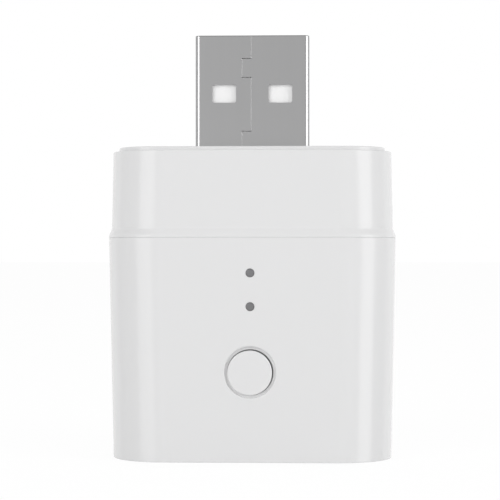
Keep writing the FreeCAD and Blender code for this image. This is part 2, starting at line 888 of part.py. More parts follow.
def build():
    """Every piece by its name."""
    parts = {
        "lower_housing": lower_housing(),
        "upper_housing": upper_housing(),
        "button_cap": button_cap(),
        "light_guide": light_guide(),
        "main_board": main_board(),
        "switch_base": switch_base(),
        "switch_cover": switch_cover(),
        "switch_dome": switch_dome(),
        "switch_plunger": switch_plunger(),
        "plug_shell": plug_shell(),
        "plug_insulator": plug_insulator(),
        "socket_shell": socket_shell(),
        "socket_insulator": socket_insulator(),
        "radio_chip": radio_chip(),
        "radio_crystal": radio_crystal(),
        "chip_antenna": on_board(chip_part(antenna_size, "z"), antenna_at, -1),
        "power_transistor": on_board(
            quarter_turn(leaded_chip(transistor_size, **transistor_leads)), transistor_at, 1),
        "voltage_regulator": on_board(leaded_chip(regulator_size, **regulator_leads), regulator_at, -1),
        "input_capacitor": on_board(chip_part(ceramic_size, "x"), ceramic_at, -1),
        "output_capacitor": output_capacitor(),
        "resettable_fuse": on_board(chip_part(fuse_size, "x"), fuse_at, -1),
        "inductor": inductor(),
        "small_resistors": column_of_parts(small_resistors_at, resistor_count, resistor_pitch, -1),
        "small_capacitors": column_of_parts(small_capacitors_at, capacitor_count, capacitor_pitch, 1),
    }
    for name in light_heights:
        parts[name] = light(name)
    for number, x in enumerate(contact_offsets, start=1):
        parts[f"plug_contact_{number}"] = plug_contact(x)
        parts[f"socket_contact_{number}"] = socket_contact(x)
    return parts


os.makedirs("parts", exist_ok=True)
for name, shape in build().items():
    shape.exportStep(f"parts/{name}.step")
    print(f"{name}: {len(shape.Solids)} solid, {shape.Volume:.2f} mm3, valid {shape.isValid()}")
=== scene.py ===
"""Looks of a small white plug-in adapter: shells, plug, board, finishes and studio, in metres."""

import logging
import math
from dataclasses import dataclass
from enum import Enum

import bmesh
import bpy
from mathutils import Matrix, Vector


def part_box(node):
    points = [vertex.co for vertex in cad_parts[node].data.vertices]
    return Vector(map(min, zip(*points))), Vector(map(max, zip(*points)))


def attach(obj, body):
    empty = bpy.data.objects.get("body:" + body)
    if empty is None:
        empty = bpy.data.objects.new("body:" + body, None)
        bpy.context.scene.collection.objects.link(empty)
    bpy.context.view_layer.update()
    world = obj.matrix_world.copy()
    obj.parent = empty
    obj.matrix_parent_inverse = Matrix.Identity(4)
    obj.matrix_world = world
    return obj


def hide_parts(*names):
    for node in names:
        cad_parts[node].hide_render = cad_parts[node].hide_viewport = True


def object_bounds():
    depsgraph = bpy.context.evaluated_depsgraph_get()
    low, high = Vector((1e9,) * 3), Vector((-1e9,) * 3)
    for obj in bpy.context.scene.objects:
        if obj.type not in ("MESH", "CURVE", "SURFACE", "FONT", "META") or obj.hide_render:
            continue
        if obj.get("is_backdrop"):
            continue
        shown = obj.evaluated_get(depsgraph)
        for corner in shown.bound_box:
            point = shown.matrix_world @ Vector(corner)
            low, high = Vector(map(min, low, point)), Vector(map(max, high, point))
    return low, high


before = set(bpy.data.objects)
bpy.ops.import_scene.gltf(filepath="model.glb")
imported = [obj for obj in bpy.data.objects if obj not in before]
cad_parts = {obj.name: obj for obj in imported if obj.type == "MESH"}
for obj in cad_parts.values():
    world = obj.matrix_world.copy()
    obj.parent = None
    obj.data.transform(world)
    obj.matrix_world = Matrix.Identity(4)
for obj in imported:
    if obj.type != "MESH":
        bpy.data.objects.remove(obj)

MM = 0.001
PICTURE_SIDE = 500
SHARP_ANGLE = 32.0
TURN_STEPS = 96
PIN_STEPS = 48
OPENING_STEPS = 12
LIKE_PARTS = {"small_resistors": 6, "small_capacitors": 3}
LOG = logging.getLogger("adapter")

Colour = tuple[float, float, float]
Outline = list[tuple[float, float]]
Levels = list[tuple[float, Outline]]


class Body(Enum):
    """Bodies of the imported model, by name."""

    HOUSING = "housing"
    BUTTON = "button"


class Axis(Enum):
    """Direction along which a solid is drawn out, with the order of its outline's two axes."""

    ACROSS = (1, 2, 0)
    DEPTH = (0, 2, 1)
    UP = (0, 1, 2)

    def place(self, first: float, second: float, along: float) -> Vector:
        """Point from outline coordinates and a distance along the axis.

        Args:
            first: First outline coordinate.
            second: Second outline coordinate.
            along: Distance along the axis.

        Returns:
            The point.
        """
        point = [0.0, 0.0, 0.0]
        for index, value in zip(self.value, (first, second, along)):
            point[index] = value
        return Vector(point)


class Joining(Enum):
    """How helper solids change a piece."""

    ADD = "UNION"
    CUT = "DIFFERENCE"


class RayKind(Enum):
    """Light paths that see the bright background instead of the plain studio level."""

    CAMERA = "Is Camera Ray"
    GLOSSY = "Is Glossy Ray"
    TRANSMISSION = "Is Transmission Ray"


class Texture(Enum):
    """Shared surface effects, by the name of their node group."""

    GRAIN = "moulded_grain"
    ROLLED = "rolled_lines"
    SPECKLE = "fired_speckle"


@dataclass(frozen=True)
class Extent:
    """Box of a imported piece.

    Attributes:
        low: Lowest corner.
        high: Highest corner.
    """

    low: Vector
    high: Vector

    @classmethod
    def of(cls, node: str) -> "Extent":
        """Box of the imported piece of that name."""
        return cls(*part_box(node))

    @property
    def middle(self) -> Vector:
        """Middle of the box."""
        return (self.low + self.high) / 2

    @property
    def size(self) -> Vector:
        """Lengths of the box's sides."""
        return self.high - self.low


def rounded_outline(
        width: float, height: float, radius: float, steps: int,
        middle: tuple[float, float] = (0.0, 0.0)) -> Outline:
    """Rectangle with rounded corners.

    Args:
        width: Length along the first axis.
        height: Length along the second axis.
        radius: Corner radius.
        steps: Segments in each corner.
        middle: Its middle.

    Returns:
        Points, anticlockwise.
    """
    points = []
    for sign_u, sign_v, start in ((1, 1, 0), (-1, 1, 90), (-1, -1, 180), (1, -1, 270)):
        for step in range(steps + 1):
            angle = math.radians(start + 90 * step / steps)
            points.append((
                middle[0] + sign_u * (width / 2 - radius) + radius * math.cos(angle),
                middle[1] + sign_v * (height / 2 - radius) + radius * math.sin(angle)))
    return points


def circle(radius: float, middle: tuple[float, float], steps: int = TURN_STEPS) -> Outline:
    """Circle as an outline.

    Args:
        radius: Its radius.
        middle: Its middle.
        steps: Segments.

    Returns:
        Points, anticlockwise.
    """
    turns = [2 * math.pi * step / steps for step in range(steps)]
    return [(middle[0] + radius * math.cos(turn), middle[1] + radius * math.sin(turn)) for turn in turns]


def quarter(steps: int) -> list[tuple[float, float]]:
    """Shares of a quarter round, as (inward, along) from its start to its end."""
    angles = [math.radians(90 * step / steps) for step in range(steps + 1)]
    return [(1 - math.cos(angle), math.sin(angle)) for angle in angles]


class MeshBag:
    """Points and faces of one piece, filled solid by solid."""

    def __init__(self) -> None:
        """Start empty."""
        self.points: list[Vector] = []
        self.faces: list[tuple[int, ...]] = []

    def loft(self, levels: Levels, axis: Axis = Axis.UP) -> "MeshBag":
        """Add a closed solid through outlines of as many points.

        Args:
            levels: Place along the axis and outline of each level.
            axis: Direction of the levels.

        Returns:
            The bag.
        """
        count = len(levels[0][1])
        start = len(self.points)
        for along, outline in levels:
            self.points += [axis.place(first, second, along) for first, second in outline]
        for level in range(len(levels) - 1):
            base = start + level * count
            for index in range(count):
                following = (index + 1) % count
                self.faces.append((
                    base + index, base + following, base + count + following, base + count + index))
        last = start + (len(levels) - 1) * count
        self.faces.append(tuple(range(start, start + count)))
        self.faces.append(tuple(range(last, last + count)))
        return self

    def turned(self, profile: Outline, middle: tuple[float, float], steps: int = TURN_STEPS) -> "MeshBag":
        """Add a solid of revolution about a front-to-back axis.

        Args:
            profile: Points as (radius, y), from one flat end to the other.
            middle: X and Z of the axis.
            steps: Segments round it.

        Returns:
            The bag.
        """
        return self.loft([(y, circle(radius, middle, steps)) for radius, y in profile], Axis.DEPTH)

    def slab(self, low: Vector, high: Vector) -> "MeshBag":
        """Add a plain block between two corners, as part of a larger piece."""
        outline = [(high[0], high[1]), (low[0], high[1]), (low[0], low[1]), (high[0], low[1])]
        return self.loft([(low[2], outline), (high[2], outline)])

    def piece(self, name: str) -> bpy.types.Object:
        """Make the object.

        Args:
            name: Its name.

        Returns:
            The object, with its faces turned outwards.
        """
        mesh = bpy.data.meshes.new(name)
        mesh.from_pydata(self.points, [], self.faces)
        draft = bmesh.new()
        draft.from_mesh(mesh)
        bmesh.ops.recalc_face_normals(draft, faces=draft.faces)
        draft.to_mesh(mesh)
        draft.free()
        made = bpy.data.objects.new(name, mesh)
        bpy.context.scene.collection.objects.link(made)
        return made


def settle_mesh(piece: bpy.types.Object) -> None:
    """Replace a piece's mesh by what its modifiers make of it."""
    bpy.context.view_layer.update()
    graph = bpy.context.evaluated_depsgraph_get()
    made = bpy.data.meshes.new_from_object(piece.evaluated_get(graph))
    draft = piece.data
    piece.modifiers.clear()
    piece.data = made
    bpy.data.meshes.remove(draft)


def work(piece: bpy.types.Object, joining: Joining, tools: list[MeshBag]) -> None:
    """Join helper solids to a piece, or cut them out of it.

    Args:
        piece: The piece to change.
        joining: Whether they are joined or cut.
        tools: Helper solids, which are used up.
    """
    use_up(piece, joining, [tool.piece(f"{piece.name}_helper") for tool in tools])


def use_up(piece: bpy.types.Object, joining: Joining, helpers: list[bpy.types.Object]) -> None:
    """Join helper objects to a piece, or cut them out of it.

    Args:
        piece: The piece to change.
        joining: Whether they are joined or cut.
        helpers: Helper objects, which are used up.
    """
    for helper in helpers:
        step = piece.modifiers.new(joining.name.lower(), "BOOLEAN")
        step.operation = joining.value
        step.solver = "EXACT"
        step.object = helper
    settle_mesh(piece)
    for helper in helpers:
        bpy.data.objects.remove(helper)


def smooth(piece: bpy.types.Object) -> None:
    """Shade a piece smoothly between its sharp edges."""
    for face in piece.data.polygons:
        face.use_smooth = True
    piece.data.set_sharp_from_angle(angle=math.radians(SHARP_ANGLE))
    even = piece.modifiers.new("even_shading", "WEIGHTED_NORMAL")
    even.keep_sharp = True
    settle_mesh(piece)


class NodeSheet:
    """Short way to place and link the nodes of one tree."""

    def __init__(self, tree: bpy.types.NodeTree) -> None:
        """Keep the tree to fill."""
        self.tree = tree

    def add(self, kind: str, **settings: object) -> bpy.types.Node:
        """Place a node and set its properties.

        Args:
            kind: Blender's name of the node type.
            settings: Properties of the node.

        Returns:
            The new node.
        """
        node = self.tree.nodes.new(kind)
        for name, value in settings.items():
            setattr(node, name, value)
        return node

    def feed(self, target: bpy.types.NodeSocket, value: object) -> None:
        """Give an input either a link or a plain value.

        Args:
            target: The input socket.
            value: An output socket, a number or a colour.
        """
        if isinstance(value, bpy.types.NodeSocket):
            self.tree.links.new(value, target)
        else:
            target.default_value = value

    def math(self, operation: str, first: object, second: object) -> bpy.types.NodeSocket:
        """Place a math node.

        Args:
            operation: Blender's name of the operation.
            first: First operand, a socket or a number.
            second: Second operand, a socket or a number.

        Returns:
            The result socket.
        """
        node = self.add("ShaderNodeMath", operation=operation)
        self.feed(node.inputs[0], first)
        self.feed(node.inputs[1], second)
        return node.outputs[0]

    def blend(self, share: object, first: object, second: object) -> bpy.types.NodeSocket:
        """Blend two colours.

        Args:
            share: How much of the second colour, a socket or a number.
            first: Colour at a share of 0.
            second: Colour at a share of 1.

        Returns:
            The blended colour.
        """
        node = self.add("ShaderNodeMix", data_type="RGBA")
        self.feed(node.inputs["Factor"], share)
        self.feed(node.inputs[6], first)
        self.feed(node.inputs[7], second)
        return node.outputs[2]

    def between(self, share: object, first: object, second: object) -> bpy.types.NodeSocket:
        """Blend two numbers.

        Args:
            share: How much of the second number, a socket or a number.
            first: Number at a share of 0.
            second: Number at a share of 1.

        Returns:
            The blended number.
        """
        node = self.add("ShaderNodeMix", data_type="FLOAT")
        self.feed(node.inputs["Factor"], share)
        self.feed(node.inputs[2], first)
        self.feed(node.inputs[3], second)
        return node.outputs[0]

    def ramp(
            self, value: object, low: float, high: float, first: object,
            second: object) -> bpy.types.NodeSocket:
        """Smooth change from one number to another.

        Args:
            value: What drives it.
            low: Where it starts.
            high: Where it ends.
            first: Number below the start.
            second: Number above the end.

        Returns:
            The number.
        """
        node = self.add("ShaderNodeMapRange", interpolation_type="SMOOTHSTEP")
        for name, given in (("Value", value), ("From Min", low), ("From Max", high),
                            ("To Min", first), ("To Max", second)):
            self.feed(node.inputs[name], given)
        return node.outputs[0]


def opaque(colour: Colour) -> tuple[float, float, float, float]:
    """Colour with full alpha."""
    return (*colour, 1.0)


def grey(level: float) -> tuple[float, float, float, float]:
    """Neutral colour with full alpha."""
    return (level, level, level, 1.0)


def scaled(colour: Colour, factor: float) -> Colour:
    """Colour made lighter or darker."""
    return tuple(channel * factor for channel in colour)


class EffectGroups:
    """Node groups of the effects that several finishes share, each built once.

    Attributes:
        BAND: Name of the group that marks a band.
        CLOUD: Scale of a moulding's clouds, as a share of its grain's.
        STRETCH: Scale of rolling lines along Z, as a share of theirs across.
        BROAD: Scale of broad rolling lines, as a share of the fine ones'.
    """

    BAND = "end_band"
    CLOUD = 0.04
    STRETCH = 0.02
    BROAD = 0.2

    @staticmethod
    def _number(tree: bpy.types.NodeTree, name: str, given: bool, value: float = 0.0) -> None:
        """Declare a number socket on a group.

        Args:
            tree: The group.
            name: Name of the socket.
            given: Whether it is an input.
            value: Its default.
        """
        kind = "INPUT" if given else "OUTPUT"
        socket = tree.interface.new_socket(name, in_out=kind, socket_type="NodeSocketFloat")
        socket.default_value = value

    def texture(self, texture: Texture) -> bpy.types.NodeTree:
        """Group of a surface texture, with Scale in and Height and Tone out.

        Args:
            texture: Which effect.

        Returns:
            The node group.
        """
        found = bpy.data.node_groups.get(texture.value)
        if found:
            return found
        tree = bpy.data.node_groups.new(texture.value, "ShaderNodeTree")
        self._number(tree, "Scale", True, 4000.0)
        self._number(tree, "Height", False)
        self._number(tree, "Tone", False)
        sheet = NodeSheet(tree)
        scale = sheet.add("NodeGroupInput").outputs["Scale"]
        result = sheet.add("NodeGroupOutput")
        where = sheet.add("ShaderNodeTexCoord").outputs["Object"]
        builders = {Texture.GRAIN: self._grain, Texture.ROLLED: self._rolled, Texture.SPECKLE: self._speckle}
        height, tone = builders[texture](sheet, where, scale)
        sheet.feed(result.inputs["Height"], height)
        sheet.feed(result.inputs["Tone"], tone)
        return tree

    @staticmethod
    def _noise(sheet: NodeSheet, where: object, scale: object, detail: float) -> bpy.types.NodeSocket:
        """Noise value at a place.

        Args:
            sheet: Where to place the node.
            where: Vector to read the noise at.
            scale: Scale of the noise, a socket or a number.
            detail: Octaves.

        Returns:
            Noise from 0 to 1.
        """
        noise = sheet.add("ShaderNodeTexNoise")
        for name, given in (("Vector", where), ("Scale", scale), ("Detail", detail)):
            sheet.feed(noise.inputs[name], given)
        return noise.outputs[0]

    def _grain(self, sheet: NodeSheet, where: object, scale: object) -> tuple[object, object]:
        """Spark-eroded mould texture with a faint cloudy tone.

        Args:
            sheet: Where to place the nodes.
            where: Vector to read the texture at.
            scale: Grains per metre.

        Returns:
            Height and tone.
        """
        cloud = self._noise(sheet, where, sheet.math("MULTIPLY", scale, self.CLOUD), 2.0)
        return self._noise(sheet, where, scale, 3.0), cloud

    def _rolled(self, sheet: NodeSheet, where: object, scale: object) -> tuple[object, object]:
        """Rolling lines of sheet metal, long and level along Z.

        Args:
            sheet: Where to place the nodes.
            where: Vector to read the texture at.
            scale: Lines per metre.

        Returns:
            Height and tone.
        """
        stretched = sheet.add("ShaderNodeVectorMath", operation="MULTIPLY")
        sheet.feed(stretched.inputs[0], where)
        stretched.inputs[1].default_value = (1.0, 1.0, self.STRETCH)
        lines = self._noise(sheet, stretched.outputs[0], scale, 4.0)
        broad_scale = sheet.math("MULTIPLY", scale, self.BROAD)
        broad = self._noise(sheet, stretched.outputs[0], broad_scale, 2.0)
        return lines, broad

    def _speckle(self, sheet: NodeSheet, where: object, scale: object) -> tuple[object, object]:
        """Pits and light grains of fired ceramic or ferrite.

        Args:
            sheet: Where to place the nodes.
            where: Vector to read the texture at.
            scale: Grains per metre.

        Returns:
            Height and tone.
        """
        cells = sheet.add("ShaderNodeTexVoronoi")
        sheet.feed(cells.inputs["Vector"], where)
        sheet.feed(cells.inputs["Scale"], scale)
        return cells.outputs["Distance"], self._noise(sheet, where, scale, 4.0)

    def band(self) -> bpy.types.NodeTree:
        """Group that marks what lies farther from a middle than a reach, with Place, Middle and Reach in.

        Returns:
            The node group, with Mask out.
        """
        found = bpy.data.node_groups.get(self.BAND)
        if found:
            return found
        tree = bpy.data.node_groups.new(self.BAND, "ShaderNodeTree")
        for name in ("Place", "Middle", "Reach"):
            self._number(tree, name, True)
        self._number(tree, "Mask", False)
        sheet = NodeSheet(tree)
        given = sheet.add("NodeGroupInput")
        result = sheet.add("NodeGroupOutput")
        offset = sheet.math("SUBTRACT", given.outputs["Place"], given.outputs["Middle"])
        away = sheet.math("ABSOLUTE", offset, 0.0)
        sheet.feed(result.inputs["Mask"], sheet.math("GREATER_THAN", away, given.outputs["Reach"]))
        return tree


@dataclass(frozen=True)
class Channels:
    """What a finish gives to a shader at each point."""

    colour: object
    roughness: object
    height: object


@dataclass(frozen=True)
class Finish:
    """One finish: a base colour with a shared texture in its tone, roughness and bump.

    Attributes:
        name: Name of the material.
        colour: Base colour, linear.
        texture: Shared effect.
        scale: Grains per metre.
        tone_swing: How far the colour varies, as a share.
        roughness: Middle roughness.
        roughness_swing: How far the roughness varies.
        bump: Depth of the texture in metres.
        metallic: 1 for metal.
        coat: Weight of a clear coat.
        transmission: 1 for clear mouldings.
    """

    name: str
    colour: Colour
    texture: Texture = Texture.GRAIN
    scale: float = 4000.0
    tone_swing: float = 0.02
    roughness: float = 0.4
    roughness_swing: float = 0.04
    bump: float = 0.000002
    metallic: float = 0.0
    coat: float = 0.0
    transmission: float = 0.0

    def channels(self, sheet: NodeSheet) -> Channels:
        """Place the finish's nodes.

        Args:
            sheet: Where to place them.

        Returns:
            Its colour, roughness and height.
        """
        effect = sheet.add("ShaderNodeGroup")
        effect.node_tree = EffectGroups().texture(self.texture)
        effect.inputs["Scale"].default_value = self.scale
        tone = effect.outputs["Tone"]
        darker = opaque(scaled(self.colour, 1 - self.tone_swing))
        lighter = opaque(scaled(self.colour, 1 + self.tone_swing))
        swing = self.roughness_swing
        rough = sheet.between(tone, self.roughness - swing, self.roughness + swing)
        return Channels(sheet.blend(tone, darker, lighter), rough, effect.outputs["Height"])

    def material(self) -> bpy.types.Material:
        """Find the material, or build it the first time.

        Returns:
            The node material.
        """
        found = bpy.data.materials.get(self.name)
        if found:
            return found
        made, sheet, shader = new_surface(self.name)
        look = self.channels(sheet)
        dress_shader(sheet, shader, look, self.bump)
        shader.inputs["Metallic"].default_value = self.metallic
        shader.inputs["Coat Weight"].default_value = self.coat
        shader.inputs["Transmission Weight"].default_value = self.transmission
        return made


@dataclass(frozen=True)
class BandedFinish:
    """Two finishes on one piece: one near a middle plane, the other past a reach from it.

    Attributes:
        name: Name of the material.
        near: Finish near the middle.
        far: Finish past the reach.
        axis: Axis along which the distance is taken, 0 to 2.
        middle: Place of the middle plane.
        reach: Half of the near band.
    """

    name: str
    near: Finish
    far: Finish
    axis: int
    middle: float
    reach: float

    def material(self) -> bpy.types.Material:
        """Build the material.

        Returns:
            The node material.
        """
        made, sheet, shader = new_surface(self.name)
        parts = sheet.add("ShaderNodeSeparateXYZ")
        sheet.feed(parts.inputs[0], sheet.add("ShaderNodeTexCoord").outputs["Object"])
        band = sheet.add("ShaderNodeGroup")
        band.node_tree = EffectGroups().band()
        sheet.feed(band.inputs["Place"], parts.outputs[self.axis])
        band.inputs["Middle"].default_value = self.middle
        band.inputs["Reach"].default_value = self.reach
        mask = band.outputs["Mask"]
        near = self.near.channels(sheet)
        far = self.far.channels(sheet)
        look = Channels(
            sheet.blend(mask, near.colour, far.colour),
            sheet.between(mask, near.roughness, far.roughness),
            sheet.between(mask, near.height, far.height))
        dress_shader(sheet, shader, look, min(self.near.bump, self.far.bump))
        sheet.feed(shader.inputs["Metallic"], sheet.between(mask, self.near.metallic, self.far.metallic))
        return made


def new_surface(name: str) -> tuple[bpy.types.Material, NodeSheet, bpy.types.Node]:
    """Start a material with one principled shader.

    Args:
        name: Name of the material.

    Returns:
        The material, its node sheet and its shader.
    """
    made = bpy.data.materials.new(name)
    made.use_nodes = True
    made.node_tree.nodes.clear()
    sheet = NodeSheet(made.node_tree)
    output = sheet.add("ShaderNodeOutputMaterial")
    shader = sheet.add("ShaderNodeBsdfPrincipled")
    sheet.feed(output.inputs["Surface"], shader.outputs[0])
    return made, sheet, shader


def dress_shader(sheet: NodeSheet, shader: bpy.types.Node, look: Channels, depth: float) -> None:
    """Feed a look into a shader.

    Args:
        sheet: Where to place the bump node.
        shader: The principled shader.
        look: Colour, roughness and height.
        depth: Depth of the height in metres.
    """
    bump = sheet.add("ShaderNodeBump")
    bump.inputs["Distance"].default_value = depth
    sheet.feed(bump.inputs["Height"], look.height)
    sheet.feed(shader.inputs["Base Color"], look.colour)
    sheet.feed(shader.inputs["Roughness"], look.roughness)
    sheet.feed(shader.inputs["Normal"], bump.outputs[0])


SHELL_WHITE = Finish(
    "satin_white", (0.80, 0.80, 0.803), tone_swing=0.004, roughness=0.2, roughness_swing=0.015,
    bump=0.0000006)
BUTTON_WHITE = Finish(
    "button_white", (0.80, 0.80, 0.803), tone_swing=0.004, roughness=0.2, roughness_swing=0.015,
    bump=0.0000006)
SMOKE_LENS = Finish("smoke_lens", (0.205, 0.205, 0.21), roughness=0.25, tone_swing=0.05, bump=0.000001)
NICKEL = Finish(
    "plug_nickel", (0.655, 0.655, 0.659), Texture.ROLLED, scale=9000.0, tone_swing=0.01,
    roughness=0.3, roughness_swing=0.012, bump=0.00000003, metallic=1.0)
SOCKET_NICKEL = Finish(
    "socket_nickel", (0.68, 0.68, 0.67), Texture.ROLLED, scale=8000.0, tone_swing=0.04,
    roughness=0.25, bump=0.0000003, metallic=1.0)
GOLD_FLASH = Finish(
    "gold_flash", (0.85, 0.62, 0.28), Texture.ROLLED, scale=9000.0, tone_swing=0.04,
    roughness=0.22, bump=0.0000003, metallic=1.0)
INSULATOR_WHITE = Finish("insulator_white", (0.97, 0.97, 0.97), tone_swing=0.01, roughness=0.45)
MASK_GREEN = Finish(
    "solder_mask", (0.015, 0.12, 0.045), scale=1800.0, tone_swing=0.12, roughness=0.3, coat=0.3)
TRACK_GREEN = Finish(
    "masked_track", (0.03, 0.19, 0.075), scale=2500.0, tone_swing=0.1, roughness=0.28, coat=0.3)
PRINT_WHITE = Finish("board_print", (0.75, 0.75, 0.72), scale=9000.0, tone_swing=0.06, roughness=0.6)
TIN = Finish("solder_tin", (0.70, 0.70, 0.69), scale=6000.0, tone_swing=0.06, roughness=0.24, metallic=1.0)
SWITCH_BLACK = Finish("switch_black", (0.02, 0.02, 0.022), roughness=0.5)
SWITCH_STEEL = Finish(
    "switch_steel", (0.62, 0.62, 0.61), Texture.ROLLED, scale=7000.0, roughness=0.3,
    bump=0.0000004, metallic=1.0)
CHIP_BLACK = Finish("chip_black", (0.022, 0.022, 0.024), scale=7000.0, tone_swing=0.15, roughness=0.55)
CRYSTAL_BASE = Finish(
    "crystal_base", (0.45, 0.38, 0.26), Texture.SPECKLE, scale=9000.0, tone_swing=0.08, roughness=0.5)
CRYSTAL_LID = Finish(
    "crystal_lid", (0.72, 0.70, 0.62), Texture.ROLLED, scale=4000.0, roughness=0.25,
    bump=0.0000004, metallic=1.0)
ANTENNA_CERAMIC = Finish(
    "antenna_blue_white", (0.62, 0.66, 0.70), Texture.SPECKLE, scale=6000.0, tone_swing=0.06)
CAPACITOR_TAN = Finish(
    "capacitor_tan", (0.42, 0.27, 0.15), Texture.SPECKLE, scale=7000.0, tone_swing=0.1)
CAN_ALUMINIUM = Finish(
    "can_aluminium", (0.78, 0.78, 0.79), Texture.ROLLED, scale=5000.0, roughness=0.3,
    bump=0.0000004, metallic=1.0)
RESISTOR_GLAZE = Finish("resistor_glaze", (0.018, 0.018, 0.02), roughness=0.25)
FUSE_GREEN = Finish("fuse_green", (0.02, 0.10, 0.05), scale=3000.0, tone_swing=0.1, roughness=0.45)
FERRITE = Finish(
    "ferrite", (0.055, 0.055, 0.058), Texture.SPECKLE, scale=5000.0, tone_swing=0.2, roughness=0.6)
LIGHT_BODY = Finish("light_body", (0.80, 0.80, 0.76), roughness=0.5)
LIGHT_EPOXY = Finish("light_epoxy", (0.85, 0.80, 0.55), roughness=0.12, coat=0.6)


def seat(
        piece: bpy.types.Object, body: Body, slot: str, finish: Finish | BandedFinish,
        *nodes: str) -> None:
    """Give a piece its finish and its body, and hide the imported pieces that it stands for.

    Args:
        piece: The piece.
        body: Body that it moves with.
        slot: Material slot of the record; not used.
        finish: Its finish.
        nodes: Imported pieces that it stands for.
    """
    piece.data.materials.clear()
    piece.data.materials.append(finish.material())
    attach(piece, body.value)
    if nodes:
        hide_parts(*nodes)
    LOG.info("%s: %d faces, rides on %s", piece.name, len(piece.data.polygons), body.value)


@dataclass(frozen=True)
class BodyPlan:
    """Plan outline that both body shells share, and the heights where they meet.

    Attributes:
        width: Left to right, at the seam.
        depth: Front to back, at the seam.
        seam: Height of the seam.
        corner: Radius of the upright corners.
        wall: Wall thickness.
        slope: How far a wall leans in for each metre of height.
        least_radius: Smallest corner of an inset outline.
        arc_steps: Segments in each corner.
        rim_lip: Outer part of the lower rim that is left standing.
        spigot_depth: How far the upper shell's spigot reaches down.
        clearance: Between spigot and rim.
        snap_width: Length of a snap.
        snap_height: Height of a snap's foot.
        snap_reach: How far a snap stands out.
        snap_offset: Middle of a snap, either side of the middle.
    """

    width: float
    depth: float
    seam: float
    corner: float = 5.8 * MM
    wall: float = 1.5 * MM
    slope: float = math.tan(math.radians(1.1))
    least_radius: float = 0.2 * MM
    arc_steps: int = 24
    rim_lip: float = 0.75 * MM
    spigot_depth: float = 1.3 * MM
    clearance: float = 0.05 * MM
    snap_width: float = 4.0 * MM
    snap_height: float = 0.8 * MM
    snap_reach: float = 0.3 * MM
    snap_offset: float = 7.0 * MM

    @classmethod
    def measured(cls) -> "BodyPlan":
        """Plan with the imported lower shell's size."""
        shell = Extent.of("lower_housing")
        return cls(shell.size.x, shell.size.y, shell.high.z)

    def outline(self, lean: float, inset: float, corner: float | None = None) -> Outline:
        """Plan outline: a lean keeps the corner radius, and an inset is even all round.

        Args:
            lean: How far the walls have leaned in.
            inset: How far the outline is set in.
            corner: Corner radius, where it has one of its own.

        Returns:
            Points, anticlockwise.
        """
        total = 2 * (lean + inset)
        radius = max(self.corner - inset, self.least_radius) if corner is None else corner
        return rounded_outline(self.width - total, self.depth - total, radius, self.arc_steps)

    def front(self, height: float) -> float:
        """Y of the lower shell's front face at a height."""
        return -self.depth / 2 + self.slope * (self.seam - height)

    def snap(self, side: int, x: float, grow: float) -> MeshBag:
        """Wedge on the spigot, or with grow the pocket for it in the lower rim.

        Args:
            side: 1 at the back, -1 at the front.
            x: Its middle.
            grow: How much larger it is.

        Returns:
            The wedge.
        """
        root = self.depth / 2 - self.rim_lip - self.clearance
        tip = root + self.snap_reach + grow
        inner = root - self.rim_lip / 2
        middle = self.seam - self.spigot_depth / 2
        reach = self.snap_height / 2 + grow
        profile = [(inner, middle - reach), (root, middle - reach), (tip, middle),
                   (root, middle + reach), (inner, middle + reach)]
        outline = [(side * y, z) for y, z in profile]
        half = self.snap_width / 2 + grow
        return MeshBag().loft([(x - half, outline), (x + half, outline)], Axis.ACROSS)

    def snaps(self, grow: float) -> list[MeshBag]:
        """All four wedges or pockets."""
        places = (-self.snap_offset, self.snap_offset)
        return [self.snap(side, x, grow) for side in (-1, 1) for x in places]


@dataclass(frozen=True)
class ButtonSeat:
    """Hole, dished groove and boss of the push button in the lower shell's front wall.

    Attributes:
        x: Middle of the hole.
        z: Height of its middle.
        face: Y of the cap's face.
        back: Y of the boss's end.
        hole: Radius of the hole.
        mouth: Outer radius of the groove.
        depth: Depth of the groove.
        cove: How far the groove's outer wall runs in before it meets the floor.
        cove_steps: Segments of that wall.
        lip: Small round at the groove's outer edge.
        boss_wall: Wall of the boss around the hole.
    """

    x: float
    z: float
    face: float
    back: float
    hole: float = 2.36 * MM
    mouth: float = 2.64 * MM
    depth: float = 0.33 * MM
    cove: float = 0.13 * MM
    cove_steps: int = 5
    lip: float = 0.035 * MM
    boss_wall: float = 1.2 * MM

    @classmethod
    def measured(cls, behind: float = 1.03 * MM) -> "ButtonSeat":
        """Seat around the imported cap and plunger.

        Args:
            behind: From the boss's end to the back of the cap's stem.

        Returns:
            The seat.
        """
        axis = Extent.of("switch_plunger").middle
        cap = Extent.of("button_cap")
        return cls(axis.x, axis.z, cap.low.y, cap.high.y - behind)

    def cutter(self, margin: float) -> MeshBag:
        """Solid that leaves the hole and its groove.

        Args:
            margin: How far it runs past the wall.

        Returns:
            The cutter.
        """
        wide = self.mouth + 2 * self.lip
        profile = [
            (wide + margin, self.face - margin),
            (wide, self.face - self.lip / 2),
            (self.mouth + self.lip / 2, self.face + self.lip / 2)]
        for inward, along in quarter(self.cove_steps):
            deep = self.face + self.lip + (self.depth - self.lip) * along
            profile.append((self.mouth - self.cove * inward, deep))
        profile += [(self.hole, self.face + self.depth), (self.hole, self.back + margin)]
        return MeshBag().turned(profile, (self.x, self.z))

    def boss(self, front: float) -> MeshBag:
        """Round boss behind the wall.

        Args:
            front: Y where it starts, inside the wall.

        Returns:
            The boss.
        """
        radius = self.hole + self.boss_wall
        return MeshBag().turned([(radius, front), (radius, self.back)], (self.x, self.z))


